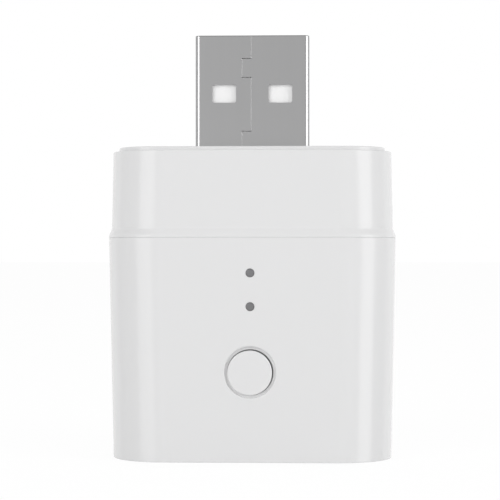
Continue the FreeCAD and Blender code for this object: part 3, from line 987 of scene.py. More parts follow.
@dataclass(frozen=True)
class LowerHousing:
    """Deep tub with the socket opening, the button hole, the light holes and the board guides.

    Attributes:
        plan: Shared plan outline.
        button: Seat of the push button.
        bottom_round: Round of the bottom edge.
        rim_round: Round of the rim's outer edge at the seam.
        round_steps: Segments in each round.
        light_hole: Radius of a light hole.
        light_hole_edge: Small bevel around it.
        socket_height: Thickness of the socket's tube.
        lip_flare: How far the socket's lips flare.
        opening_clearance: Between the lips and the opening.
        opening_round: Corner of the opening.
        opening_edge: Small bevel around the opening.
        guide_wall: Wall of a board guide.
        guide_engage: How far a guide reaches over the board.
        guide_height: How far a guide reaches up.
        guide_clearance: Between the board and its guides.
        side_gap: From the board to the side wall.
    """

    plan: BodyPlan
    button: ButtonSeat
    bottom_round: float = 0.06 * MM
    rim_round: float = 0.04 * MM
    round_steps: int = 6
    light_hole: float = 0.45 * MM
    light_hole_edge: float = 0.0375 * MM
    socket_height: float = 5.7 * MM
    lip_flare: float = 0.4 * MM
    opening_clearance: float = 0.1 * MM
    opening_round: float = 0.7 * MM
    opening_edge: float = 0.12 * MM
    guide_wall: float = 0.8 * MM
    guide_engage: float = 0.8 * MM
    guide_height: float = 14.0 * MM
    guide_clearance: float = 0.05 * MM
    side_gap: float = 1.6 * MM

    def build(self) -> bpy.types.Object:
        """Model the tub.

        Returns:
            The piece.
        """
        plan = self.plan
        piece = MeshBag().loft(self._outer_levels()).piece("lower_shell")
        inside = plan.outline(plan.slope * (plan.seam - plan.wall), plan.wall)
        rebate = plan.outline(0, plan.rim_lip)
        rebate_floor = plan.seam - plan.spigot_depth - plan.clearance
        above = plan.seam + plan.wall
        work(piece, Joining.CUT, [
            MeshBag().loft([(plan.wall, inside), (above, inside)]),
            MeshBag().loft([(rebate_floor, rebate), (above, rebate)])])
        start = self.button.face + plan.wall / 2
        work(piece, Joining.ADD, [self.button.boss(start), self._guide(-1), self._guide(1)])
        work(piece, Joining.CUT, self._openings() + plan.snaps(plan.clearance))
        smooth(piece)
        seat(piece, Body.HOUSING, "shell_plastic", SHELL_WHITE, "lower_housing")
        return piece

    def _outer_levels(self) -> Levels:
        """Outlines of the outer skin, from the bottom face to the rim.

        Returns:
            The levels.
        """
        plan = self.plan
        lean = plan.slope * plan.seam
        levels = []
        for inward, along in reversed(quarter(self.round_steps)):
            height = self.bottom_round * (1 - along)
            levels.append((height, plan.outline(lean, self.bottom_round * inward)))
        for inward, along in quarter(self.round_steps // 2):
            height = plan.seam - self.rim_round * (1 - along)
            levels.append((height, plan.outline(0, self.rim_round * inward)))
        return levels

    def _guide(self, side: int) -> MeshBag:
        """Upright channel that holds the board's edge.

        Args:
            side: 1 at the right, -1 at the left.

        Returns:
            The channel, as one folded section.
        """
        board = Extent.of("main_board")
        inner = board.high.x - self.guide_engage
        outer = board.high.x + self.side_gap + self.plan.wall / 2
        groove = board.high.x + self.guide_clearance
        front = board.low.y - self.guide_clearance
        back = board.high.y + self.guide_clearance
        low_y = board.low.y - self.guide_wall
        high_y = board.high.y + self.guide_wall
        section = [(inner, low_y), (outer, low_y), (outer, high_y), (inner, high_y),
                   (inner, back), (groove, back), (groove, front), (inner, front)]
        outline = [(side * x, y) for x, y in section]
        ledge = [(side * x, y) for x, y in section[:4]]
        bag = MeshBag().loft([(board.low.z, outline), (self.plan.wall + self.guide_height, outline)])
        return bag.loft([(self.plan.wall / 2, ledge), (board.low.z, ledge)])

    def _openings(self) -> list[MeshBag]:
        """Cutters of the socket opening, the button hole and the light holes.

        Returns:
            The cutters.
        """
        plan = self.plan
        socket = Extent.of("socket_shell")
        width = socket.size.x + 2 * self.opening_clearance
        depth = self.socket_height + 2 * (self.lip_flare + self.opening_clearance)
        middle = (0.0, socket.high.y - self.lip_flare - self.socket_height / 2)
        levels = []
        for height, grow in ((-self.opening_edge, 2), (0, 1), (self.opening_edge, 0), (2 * plan.wall, 0)):
            more = grow * self.opening_edge
            radius = self.opening_round + more
            outline = rounded_outline(width + 2 * more, depth + 2 * more, radius, OPENING_STEPS, middle)
            levels.append((height, outline))
        cutters = [MeshBag().loft(levels), self.button.cutter(plan.wall)]
        for node in ("upper_led", "lower_led"):
            light = Extent.of(node).middle
            face = plan.front(light.z)
            edge = self.light_hole_edge
            profile = [(self.light_hole + 3 * edge, face - 2 * edge), (self.light_hole, face + edge),
                       (self.light_hole, face + 2 * plan.wall)]
            cutters.append(MeshBag().turned(profile, (light.x, light.z), PIN_STEPS))
        return cutters


@dataclass(frozen=True)
class UpperHousing:
    """Cap with the flared foot, the raised land, the plug slot, the collar and the spigot.

    Attributes:
        plan: Shared plan outline.
        land_height: Height of the land over the rim.
        land_inset: From the rim's wall to the land.
        land_corner: Radius of the land's corners in plan.
        land_round: Round of the land's edge.
        rim_round: Round of the rim.
        foot_round: Round of the foot at the seam.
        flare_setback: How far the wall stands back from the lower shell.
        flare_height: Height of the flare.
        flare_steps: Levels in the flare.
        round_steps: Segments in each round.
        spigot_root: Length of spigot in the wall.
        collar_wall: Wall of the collar.
        collar_depth: How far the collar reaches down.
        slot_clearance: Between the plug and its slot.
        slot_corner: Corner of the slot.
        slot_edge: Small bevel around the slot.
        plug_height: Thickness of the plug.
    """

    plan: BodyPlan
    land_height: float = 0.4 * MM
    land_inset: float = 0.7 * MM
    land_corner: float = 4.3 * MM
    land_round: float = 0.14 * MM
    rim_round: float = 0.11 * MM
    foot_round: float = 0.07 * MM
    flare_setback: float = 0.26 * MM
    flare_height: float = 1.05 * MM
    flare_steps: int = 14
    round_steps: int = 8
    spigot_root: float = 0.4 * MM
    collar_wall: float = 1.0 * MM
    collar_depth: float = 1.3 * MM
    slot_clearance: float = 0.05 * MM
    slot_corner: float = 0.45 * MM
    slot_edge: float = 0.06 * MM
    plug_height: float = 4.5 * MM

    @property
    def land(self) -> float:
        """Height of the land's top."""
        return Extent.of("upper_housing").high.z

    @property
    def rim(self) -> float:
        """Height of the rim."""
        return self.land - self.land_height

    def build(self) -> bpy.types.Object:
        """Model the cap.

        Returns:
            The piece.
        """
        plan = self.plan
        ceiling = self.rim - plan.wall
        piece = MeshBag().loft(self._outer_levels()).piece("upper_shell")
        cavity = [
            (plan.seam - plan.wall, plan.outline(self._lean(plan.seam), plan.wall)),
            (ceiling, plan.outline(self._lean(ceiling), plan.wall))]
        work(piece, Joining.CUT, [MeshBag().loft(cavity)])
        low = plan.seam - plan.spigot_depth
        spigot = plan.outline(0, plan.rim_lip + plan.clearance)
        bore = plan.outline(0, plan.wall)
        ring = MeshBag().loft([(low, spigot), (plan.seam + self.spigot_root, spigot)]).piece("spigot_ring")
        work(ring, Joining.CUT, [MeshBag().loft([(low - plan.wall, bore), (plan.seam + plan.wall, bore)])])
        use_up(piece, Joining.ADD, [ring])
        tube = self._around_plug(self.collar_wall, ceiling - self.collar_depth, ceiling + plan.wall / 2)
        work(piece, Joining.ADD, [tube] + plan.snaps(0))
        work(piece, Joining.CUT, [self._slot(ceiling - 2 * self.collar_depth)])
        smooth(piece)
        seat(piece, Body.HOUSING, "shell_plastic", SHELL_WHITE, "upper_housing")
        return piece

    def _lean(self, height: float) -> float:
        """How far the wall has leaned in at a height."""
        return self.flare_setback + self.plan.slope * (height - self.plan.seam)

    def _outer_levels(self) -> Levels:
        """Outlines of the outer skin: foot, flare, wall, rim and land.

        Returns:
            The levels, from the seam up.
        """
        plan = self.plan
        levels = []
        for inward, along in reversed(quarter(self.round_steps // 2)):
            height = plan.seam + self.foot_round * (1 - along)
            levels.append((height, plan.outline(0, self.foot_round * inward)))
        rise = self.flare_height - self.foot_round
        for step in range(1, self.flare_steps + 1):
            share = step / self.flare_steps
            height = plan.seam + self.foot_round + share * rise
            ease = share * share * (3 - 2 * share)
            levels.append((height, plan.outline(ease * self._lean(height), 0)))
        lean = self._lean(self.rim)
        for inward, along in quarter(self.round_steps):
            height = self.rim - self.rim_round * (1 - along)
            levels.append((height, plan.outline(lean, self.rim_round * inward)))
        levels.append((self.rim, plan.outline(lean, self.land_inset, self.land_corner)))
        for inward, along in quarter(self.round_steps):
            height = self.land - self.land_round * (1 - along)
            inset = self.land_round * inward
            levels.append((height, plan.outline(lean, self.land_inset + inset, self.land_corner - inset)))
        return levels

    def _around_plug(self, grow: float, low: float, high: float) -> MeshBag:
        """Upright block around the plug's slot.

        Args:
            grow: How far it stands out from the slot.
            low: Its bottom.
            high: Its top.

        Returns:
            The block.
        """
        outline = self._slot_outline(grow)
        return MeshBag().loft([(low, outline), (high, outline)])

    def _slot_outline(self, grow: float) -> Outline:
        """Outline of the slot, or of something around it.

        Args:
            grow: How far it stands out from the slot.

        Returns:
            The outline.
        """
        plug = Extent.of("plug_shell")
        reach = 2 * (self.slot_clearance + grow)
        middle = (0.0, plug.high.y - self.plug_height / 2)
        return rounded_outline(
            plug.size.x + reach, self.plug_height + reach, self.slot_corner + grow, OPENING_STEPS, middle)

    def _slot(self, low: float) -> MeshBag:
        """Cutter of the slot, with a small bevel at the land.

        Args:
            low: Its bottom.

        Returns:
            The cutter.
        """
        edge = self.slot_edge
        plain = self._slot_outline(0)
        return MeshBag().loft([
            (low, plain), (self.land - edge, plain), (self.land + edge, self._slot_outline(2 * edge))])


@dataclass(frozen=True)
class PushButton:
    """Round cap with a softly rounded edge, a flange behind the wall and a stem to the switch.

    Attributes:
        radius: Radius of the cap.
        edge: Round of its edge.
        edge_steps: Segments in that round.
        flange_thickness: Thickness of the flange.
        stem_radius: Radius of the stem.
        stem_length: Length of the stem.
    """

    radius: float = 2.29 * MM
    edge: float = 0.12 * MM
    edge_steps: int = 6
    flange_thickness: float = 0.6 * MM
    stem_radius: float = 1.1 * MM
    stem_length: float = 0.38 * MM

    def build(self) -> bpy.types.Object:
        """Model the cap.

        Returns:
            The piece.
        """
        cap = Extent.of("button_cap")
        flange_back = cap.high.y - self.stem_length
        flange_front = flange_back - self.flange_thickness
        flange = cap.size.x / 2
        profile = []
        for inward, along in reversed(quarter(self.edge_steps)):
            profile.append((self.radius - self.edge * inward, cap.low.y + self.edge * (1 - along)))
        profile += [(self.radius, flange_front), (flange, flange_front), (flange, flange_back),
                    (self.stem_radius, flange_back), (self.stem_radius, cap.high.y)]
        piece = MeshBag().turned(profile, (cap.middle.x, cap.middle.z)).piece("push_button")
        smooth(piece)
        seat(piece, Body.BUTTON, "button_plastic", BUTTON_WHITE, "button_cap")
        return piece


@dataclass(frozen=True)
class LightPipe:
    """Smoke-grey moulding: two pins with softly domed ends, a bar behind the wall and a stub to each light.

    Attributes:
        pin: Radius of a pin.
        stub: Radius of a stub.
        dome: Height of the round of a pin's end.
        dome_reach: How far that round runs in.
        dome_steps: Segments in it.
        bar: Thickness of the bar.
        bar_round: Corner of the bar.
        bar_steps: Segments in each corner.
        front_gap: From the shell's front face to a pin's end.
    """

    pin: float = 0.43 * MM
    stub: float = 0.7 * MM
    dome: float = 0.06 * MM
    dome_reach: float = 0.18 * MM
    dome_steps: int = 5
    bar: float = 0.7 * MM
    bar_round: float = 0.2 * MM
    bar_steps: int = 6
    front_gap: float = 0.05 * MM

    def build(self, plan: BodyPlan) -> bpy.types.Object:
        """Model the light pipe.

        Args:
            plan: Shared plan outline of the shells.

        Returns:
            The piece.
        """
        guide = Extent.of("light_guide")
        inner = plan.slope * (plan.seam - plan.wall) + plan.wall - plan.depth / 2
        middle = (guide.middle.x, guide.middle.z)
        outline = rounded_outline(guide.size.x, guide.size.z, self.bar_round, self.bar_steps, middle)
        bar = MeshBag().loft([(inner, outline), (inner + self.bar, outline)], Axis.DEPTH)
        piece = bar.piece("light_pipe")
        rods = []
        for node in ("upper_led", "lower_led"):
            light = Extent.of(node).middle
            face = plan.front(light.z) + self.front_gap
            profile = []
            for inward, along in reversed(quarter(self.dome_steps)):
                profile.append((self.pin - self.dome_reach * inward, face + self.dome * (1 - along)))
            profile.append((self.pin, inner + self.bar / 2))
            rods.append(MeshBag().turned(profile, (light.x, light.z), PIN_STEPS))
            stub = [(self.stub, inner + self.bar / 2), (self.stub, guide.high.y)]
            rods.append(MeshBag().turned(stub, (light.x, light.z), PIN_STEPS))
        work(piece, Joining.ADD, rods)
        smooth(piece)
        seat(piece, Body.HOUSING, "light_guide", SMOKE_LENS, "light_guide")
        return piece


@dataclass(frozen=True)
class PlugShell:
    """Folded sheet of the plug, with its windows, its interlocked seam and two board legs.

    Attributes:
        height: Thickness of the plug.
        sheet: Thickness of the sheet.
        corner: Outer radius of the folds.
        inner_corner: Inner radius of the folds.
        tip_round: Round of the outer edge at the tip.
        tip_steps: Segments in that round.
        steps: Segments in each fold.
        window: Width and height of a window.
        window_round: Corner of a window.
        window_steps: Segments in that corner.
        window_from_tip: From the tip to a window.
        window_offset: Middle of a window, either side of the middle.
        seam_steps: Where the seam changes side, from the tip.
        seam_middle: X of its runs at the tip.
        seam_jog: How far it changes side.
        slit: Width of the seam across its jogs.
        hairline: Width of the seam along its upright runs.
        crease: Round of the sheet's edges along them.
        crease_steps: Segments in that round.
        leg_width: Width of a board leg.
        leg_from_back: From the back end to a leg.
    """

    height: float = 4.5 * MM
    sheet: float = 0.3 * MM
    corner: float = 0.52 * MM
    inner_corner: float = 0.2 * MM
    tip_round: float = 0.1 * MM
    tip_steps: int = 4
    steps: int = 12
    window: tuple[float, float] = (2.5 * MM, 1.9 * MM)
    window_round: float = 0.2 * MM
    window_steps: int = 6
    window_from_tip: float = 5.16 * MM
    window_offset: float = 2.95 * MM
    seam_steps: tuple[float, ...] = (2.43 * MM, 4.41 * MM, 10.06 * MM)
    seam_middle: float = -0.11 * MM
    seam_jog: float = 0.96 * MM
    slit: float = 0.07 * MM
    hairline: float = 0.008 * MM
    crease: float = 0.026 * MM
    crease_steps: int = 4
    leg_width: float = 1.5 * MM
    leg_from_back: float = 0.9 * MM

    def build(self) -> bpy.types.Object:
        """Model the folded sheet.

        Returns:
            The piece.
        """
        plug = Extent.of("plug_shell")
        middle = plug.high.y - self.height / 2
        levels = [(plug.low.z, self._outline(plug.size.x, 0, self.corner, middle))]
        for inward, along in quarter(self.tip_steps):
            outline = self._outline(plug.size.x, self.tip_round * inward, self.corner, middle)
            levels.append((plug.high.z - self.tip_round * (1 - along), outline))
        piece = MeshBag().loft(levels).piece("plug_sheet")
        work(piece, Joining.ADD, [self._leg(side, plug) for side in (-1, 1)])
        hollow = self._outline(plug.size.x, self.sheet, self.inner_corner, middle)
        inside = MeshBag().loft([(plug.low.z - self.sheet, hollow), (plug.high.z + self.sheet, hollow)])
        work(piece, Joining.CUT, [inside] + self._windows(plug, middle))
        face = plug.high.y - self.height
        work(piece, Joining.CUT, self._seam(plug, face))
        smooth(piece)
        seat(piece, Body.HOUSING, "plug_steel", NICKEL, "plug_shell")
        return piece

    def _outline(self, width: float, inset: float, corner: float, middle: float) -> Outline:
        """Outline of the tube.

        Args:
            width: Width of the plug.
            inset: How far the outline is set in.
            corner: Corner radius.
            middle: Y of its middle.

        Returns:
            The outline.
        """
        reach = 2 * inset
        return rounded_outline(width - reach, self.height - reach, corner, self.steps, (0.0, middle))

    def _leg(self, side: int, plug: Extent) -> MeshBag:
        """Leg that carries on from a side wall through the board.

        Args:
            side: 1 at the right, -1 at the left.
            plug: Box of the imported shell.

        Returns:
            The leg.
        """
        edge = plug.size.x / 2
        low_z = plug.low.z + self.leg_from_back
        xs = sorted((side * edge, side * (edge - self.sheet)))
        return MeshBag().slab(
            Vector((xs[0], plug.low.y, low_z)),
            Vector((xs[1], plug.high.y - self.height + self.corner + self.sheet, low_z + self.leg_width)))

    def _windows(self, plug: Extent, middle: float) -> list[MeshBag]:
        """Cutters of the windows, through both flat walls.

        Args:
            plug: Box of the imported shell.
            middle: Y of the plug's middle.

        Returns:
            The cutters.
        """
        height = plug.high.z - self.window_from_tip - self.window[1] / 2
        cutters = []
        for x in (-self.window_offset, self.window_offset):
            outline = rounded_outline(*self.window, self.window_round, self.window_steps, (x, height))
            levels = [(middle - self.height, outline), (middle + self.height, outline)]
            cutters.append(MeshBag().loft(levels, Axis.DEPTH))
        return cutters

    def _seam(self, plug: Extent, face: float) -> list[MeshBag]:
        """Cutters of the folded seam: a slit with rolled edges down its upright runs, and plain jogs.

        Args:
            plug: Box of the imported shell.
            face: Y of the front wall.

        Returns:
            The cutters.
        """
        near = self.seam_middle
        far = near - self.seam_jog
        steps = [plug.high.z - step for step in self.seam_steps]
        highs = [plug.high.z + self.sheet] + steps
        lows = steps + [plug.low.z - self.sheet]
        half = self.slit / 2
        side = [(self.hairline / 2 + self.crease, face - self.crease)]
        for inward, along in quarter(self.crease_steps):
            side.append((self.hairline / 2 + self.crease * (1 - along), face + self.crease * inward))
        side.append((self.hairline / 2, face + 2 * self.sheet))
        cutters = []
        for x, high, low in zip((near, far, near, far), highs, lows):
            section = [(x + away, y) for away, y in side] + [(x - away, y) for away, y in reversed(side)]
            cutters.append(MeshBag().loft([(low - half, section), (high + half, section)]))
        for height in steps:
            cutters.append(MeshBag().slab(
                Vector((far - half, face - self.sheet, height - half)),
                Vector((near + half, face + 2 * self.sheet, height + half))))
        return cutters


@dataclass(frozen=True)
class BoardDressing:
    """Solder, pads, masked tracks and printed outlines on both sides of the board.

    Attributes:
        pad_thickness: How far a tinned pad stands off the board.
        track_thickness: How far a masked track stands off the board.
        track_width: Width of a track.
        track_end: Round of a track's ends, as a share of a half round.
        track_steps: Segments in that round.
        rail_width: Width of the rail along each edge.
        rail_inset: From the board's edge to the rail's middle.
        rail_ends: Length of board that the rail leaves free.
        rail_steps: Segments in the rail's corners.
        print_thickness: Thickness of the board print.
        print_width: Width of a printed line.
        print_gap: From a part to its printed outline.
        print_lift: How much thicker the level lines are, so that crossing lines don't share a face.
        print_steps: Segments in the ends of a printed line.
        fillet: How far a solder fillet runs out.
        heap: Levels of a fillet, as shares of its height and of how far it runs out.
        heap_corner: Least and added share of a fillet's width that its corners take.
        heap_steps: Segments in those corners.
        climb: How far solder climbs a part, as a share of the part's height.
        terminal: Length of a part's plated end.
        stacked_part: Length in Z of each of a group of like parts.
        sheet: Thickness of the plug's and the socket's sheet.
        leg_width: Width of a sheet leg.
        plug_leg: From the plug shell's back end to its legs.
        socket_legs: From the socket shell's mouth to its legs.
        socket_flare: How far the socket's lips stand out past its walls.
        stub: How far legs and pins stand out of the board.
        pin: Width and length of the solder on a socket pin.
        pin_inset: From a pin's end to that solder.
        foot: Width and length of a plug contact's foot.
        foot_inset: From the foot's end to its middle.
        foot_rise: Height of the solder on a foot.
        via: Outer radius of a plated hole.
        via_steps: Segments round it.
        pitch: Between plated holes.
    """

    pad_thickness: float = 0.02 * MM
    track_thickness: float = 0.012 * MM
    track_width: float = 0.22 * MM
    track_end: float = 0.9
    track_steps: int = 4
    rail_width: float = 0.66 * MM
    rail_inset: float = 1.3 * MM
    rail_ends: float = 3.0 * MM
    rail_steps: int = 5
    print_thickness: float = 0.008 * MM
    print_width: float = 0.12 * MM
    print_gap: float = 0.3 * MM
    print_lift: float = 1.1
    print_steps: int = 3
    fillet: float = 0.22 * MM
    heap: tuple[tuple[float, float], ...] = ((0.0, 1.0), (0.15, 0.62), (0.35, 0.34), (0.65, 0.13), (1.0, 0.03))
    heap_corner: tuple[float, float] = (0.1, 0.3)
    heap_steps: int = 5
    climb: float = 0.7
    terminal: float = 0.35 * MM
    stacked_part: float = 0.8 * MM
    sheet: float = 0.3 * MM
    leg_width: float = 1.5 * MM
    plug_leg: float = 1.65 * MM
    socket_legs: tuple[float, ...] = (3.2 * MM, 10.6 * MM)
    socket_flare: float = 0.4 * MM
    stub: float = 0.4 * MM
    pin: tuple[float, float] = (1.0 * MM, 0.2 * MM)
    pin_inset: float = 0.1 * MM
    foot: tuple[float, float] = (1.0 * MM, 1.0 * MM)
    foot_inset: float = 0.5 * MM
    foot_rise: float = 0.16 * MM
    via: float = 0.28 * MM
    via_steps: int = 24
    pitch: float = 2.1 * MM

    def build(self) -> None:
        """Model all the dressing."""
        board = Extent.of("main_board")
        self._solder(board)
        self._tracks(board)
        self._print(board)

    @staticmethod
    def _plate(bag: MeshBag, outline: Outline, face: float, side: int, thickness: float) -> None:
        """Add a thin plate on one side of the board.

        Args:
            bag: Where it goes.
            outline: Its outline in X and Z.
            face: Y of the board's face.
            side: 1 at the back, -1 at the front.
            thickness: How far it stands off.
        """
        bag.loft([(face, outline), (face + side * thickness, outline)], Axis.DEPTH)

    def _heap(self, bag: MeshBag, middle: tuple[float, float], size: tuple[float, float],
              face: float, rise: float) -> None:
        """Add solder that runs up the sides of something: wide on the board, steep above.

        Args:
            bag: Where it goes.
            middle: X and Z of its middle.
            size: Width and length of what it holds.
            face: Y of the board's face.
            rise: How far it climbs, with its sign.
        """
        levels = []
        least, added = self.heap_corner
        for share, spread in self.heap:
            grow = 2 * self.fillet * spread
            width = size[0] + grow
            length = size[1] + grow
            radius = min(width, length) * (least + added * spread)
            outline = rounded_outline(width, length, radius, self.heap_steps, middle)
            levels.append((face + share * rise, outline))
        bag.loft(levels, Axis.DEPTH)

    def _solder(self, board: Extent) -> None:
        """Solder at the parts' ends, at the legs and the socket pins, and on the plug contacts' feet.

        Args:
            board: Box of the board.
        """
        bag = MeshBag()
        for node, side, axis in (
                ("chip_antenna", -1, 2), ("input_capacitor", -1, 0), ("resettable_fuse", -1, 0),
                ("small_resistors", -1, 0), ("small_capacitors", 1, 0)):
            for middle, size in self._ends(node, axis):
                face = board.high.y if side > 0 else board.low.y
                rise = Extent.of(node).size.y * self.climb * side
                self._heap(bag, middle, size, face, rise)
        for x, z in self._leg_places():
            self._heap(bag, (x, z), (self.sheet, self.leg_width), board.low.y, -self.stub)
        for number in range(1, 5):
            contact = Extent.of(f"socket_contact_{number}")
            end = (contact.middle.x, contact.high.z - self.pin_inset)
            self._heap(bag, end, self.pin, board.low.y, -self.stub)
            contact = Extent.of(f"plug_contact_{number}")
            end = (contact.middle.x, contact.low.z + self.foot_inset)
            self._heap(bag, end, self.foot, board.high.y, self.foot_rise)
        piece = bag.piece("board_solder")
        smooth(piece)
        seat(piece, Body.HOUSING, "socket_steel", TIN)

    def _ends(self, node: str, axis: int) -> list[tuple[tuple[float, float], tuple[float, float]]]:
        """Middle and size of each plated end of a part, or of a group of parts stacked in Z.

        Args:
            node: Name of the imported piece.
            axis: Axis from one end to the other.

        Returns:
            Middle and size of each end, in X and Z.
        """
        part = Extent.of(node)
        count = LIKE_PARTS.get(node, 1)
        thickness = self.stacked_part if count > 1 else part.size.z
        gap = (part.size.z - thickness) / max(count - 1, 1)
        found = []
        for index in range(count):
            z = part.low.z + thickness / 2 + index * gap
            for sign in (-1, 1):
                if axis == 0:
                    x = part.middle.x + sign * (part.size.x - self.terminal) / 2
                    found.append(((x, z), (self.terminal, thickness)))
                else:
                    end = part.middle.z + sign * (part.size.z - self.terminal) / 2
                    found.append(((part.middle.x, end), (part.size.x, self.terminal)))
        return found

    def _leg_places(self) -> list[tuple[float, float]]:
        """X and Z of each sheet leg that comes through the board."""
        plug = Extent.of("plug_shell")
        socket = Extent.of("socket_shell")
        half = self.sheet / 2
        places = []
        for side in (-1, 1):
            places.append((side * (plug.high.x - half), plug.low.z + self.plug_leg))
            for step in self.socket_legs:
                places.append((side * (socket.high.x - self.socket_flare - half), socket.low.z + step))
        return places

    def _tracks(self, board: Extent) -> None:
        """Masked copper: a rail down each edge, runs to the parts, and rows of plated holes.

        Args:
            board: Box of the board.
        """
        bag = MeshBag()
        holes = MeshBag()
        half = self.track_width / 2
        rail = board.high.x - self.rail_inset
        for side, face in ((-1, board.low.y), (1, board.high.y)):
            for sign in (-1, 1):
                middle = (sign * rail, board.middle.z)
                length = board.size.z - self.rail_ends
                outline = rounded_outline(self.rail_width, length, self.track_width, self.rail_steps, middle)
                self._plate(bag, outline, face, side, self.track_thickness)
                for index in range(int(length / self.pitch)):
                    z = board.middle.z - length / 2 + (index + 0.5) * self.pitch
                    ring = circle(self.via, (sign * rail, z), self.via_steps)
                    self._plate(holes, ring, face, side, self.pad_thickness)
            nodes = self._parts(side)
            for order, node in enumerate(nodes):
                part = Extent.of(node)
                sign = 1 if part.middle.x > 0 else -1
                z = part.middle.z + (order - len(nodes) / 2) * self.track_width
                edge = part.high.x if sign > 0 else part.low.x
                middle = ((edge + sign * rail) / 2, z)
                width = abs(sign * rail - edge) + half
                corner = self.track_end * half
                outline = rounded_outline(width, self.track_width, corner, self.track_steps, middle)
                self._plate(bag, outline, face, side, self.track_thickness)
        tracks = bag.piece("board_tracks")
        smooth(tracks)
        seat(tracks, Body.HOUSING, "board_laminate", TRACK_GREEN)
        plated = holes.piece("board_plated_holes")
        smooth(plated)
        seat(plated, Body.HOUSING, "contact_metal", GOLD_FLASH)

    @staticmethod
    def _parts(side: int) -> tuple[str, ...]:
        """Names of the board parts on one side."""
        if side > 0:
            return ("radio_chip", "radio_crystal", "power_transistor", "output_capacitor", "small_capacitors")
        return ("chip_antenna", "inductor", "voltage_regulator", "resettable_fuse", "input_capacitor",
                "small_resistors")

    def _print(self, board: Extent) -> None:
        """Printed outlines around the parts.

        Args:
            board: Box of the board.
        """
        bag = MeshBag()
        corner = self.print_width / 3
        for side, face in ((-1, board.low.y), (1, board.high.y)):
            for node in self._parts(side):
                part = Extent.of(node)
                width = part.size.x + 2 * self.print_gap
                length = part.size.z + 2 * self.print_gap
                for sign in (-1, 1):
                    across = (part.middle.x + sign * width / 2, part.middle.z)
                    upright = rounded_outline(self.print_width, length, corner, self.print_steps, across)
                    self._plate(bag, upright, face, side, self.print_thickness)
                    along = (part.middle.x, part.middle.z + sign * length / 2)
                    level = rounded_outline(width, self.print_width, corner, self.print_steps, along)
                    self._plate(bag, level, face, side, self.print_lift * self.print_thickness)
        piece = bag.piece("board_outlines")
        smooth(piece)
        seat(piece, Body.HOUSING, "board_laminate", PRINT_WHITE)


@dataclass(frozen=True)
class PartMarks:
    """Small marks on the board parts: the antenna's silver line and the can's dark side.

    Attributes:
        thickness: How far a mark stands off.
        line: Width of the antenna's line.
        folds: How often that line turns.
        corner_steps: Segments in the line's corners.
        upright: Thickness of the line's upright runs, as a share, so that crossing runs don't share a face.
        can_radius: Radius of the can.
        reach: Radius of the can's mark, as a share of the can's.
        share: How much of the can's top is dark.
        arc_steps: Segments in each half of the mark's arc.
    """

    thickness: float = 0.015 * MM
    line: float = 0.25 * MM
    folds: int = 5
    corner_steps: int = 3
    upright: float = 0.9
    can_radius: float = 2.0 * MM
    reach: float = 0.9
    share: float = 0.32
    arc_steps: int = 12

    def build(self) -> None:
        """Model the marks."""
        self._antenna_line()
        self._can_side()

    def _antenna_line(self) -> None:
        """Silver line that folds to and fro along the antenna."""
        block = Extent.of("chip_antenna")
        face = block.low.y
        reach = block.size.x / 2 - self.line
        pitch = (block.size.z - 4 * self.line) / (2 * self.folds)
        bag = MeshBag()
        for index in range(2 * self.folds + 1):
            z = block.middle.z + (index - self.folds) * pitch
            middle = (block.middle.x, z)
            level = rounded_outline(2 * reach, self.line, self.line / 3, self.corner_steps, middle)
            bag.loft([(face, level), (face - self.thickness, level)], Axis.DEPTH)
            if index:
                x = block.middle.x + (reach - self.line / 2) * (1 if index % 2 else -1)
                middle = (x, z - pitch / 2)
                run = rounded_outline(self.line, pitch, self.line / 3, self.corner_steps, middle)
                bag.loft([(face, run), (face - self.upright * self.thickness, run)], Axis.DEPTH)
        piece = bag.piece("antenna_line")
        smooth(piece)
        seat(piece, Body.HOUSING, "antenna_ceramic", TIN)

    def _can_side(self) -> None:
        """Dark segment on the can's end, at its negative side."""
        can = Extent.of("output_capacitor")
        radius = self.reach * self.can_radius
        limit = math.acos(1 - 2 * self.share)
        outline = []
        for step in range(2 * self.arc_steps + 1):
            angle = math.pi + limit * (step / self.arc_steps - 1)
            x = can.middle.x + radius * math.cos(angle)
            z = can.middle.z + radius * math.sin(angle)
            outline.append((x, z))
        face = can.high.y
        bag = MeshBag().loft([(face, outline), (face + self.thickness, outline)], Axis.DEPTH)
        piece = bag.piece("can_dark_side")
        smooth(piece)
        seat(piece, Body.HOUSING, "capacitor_can", CHIP_BLACK)


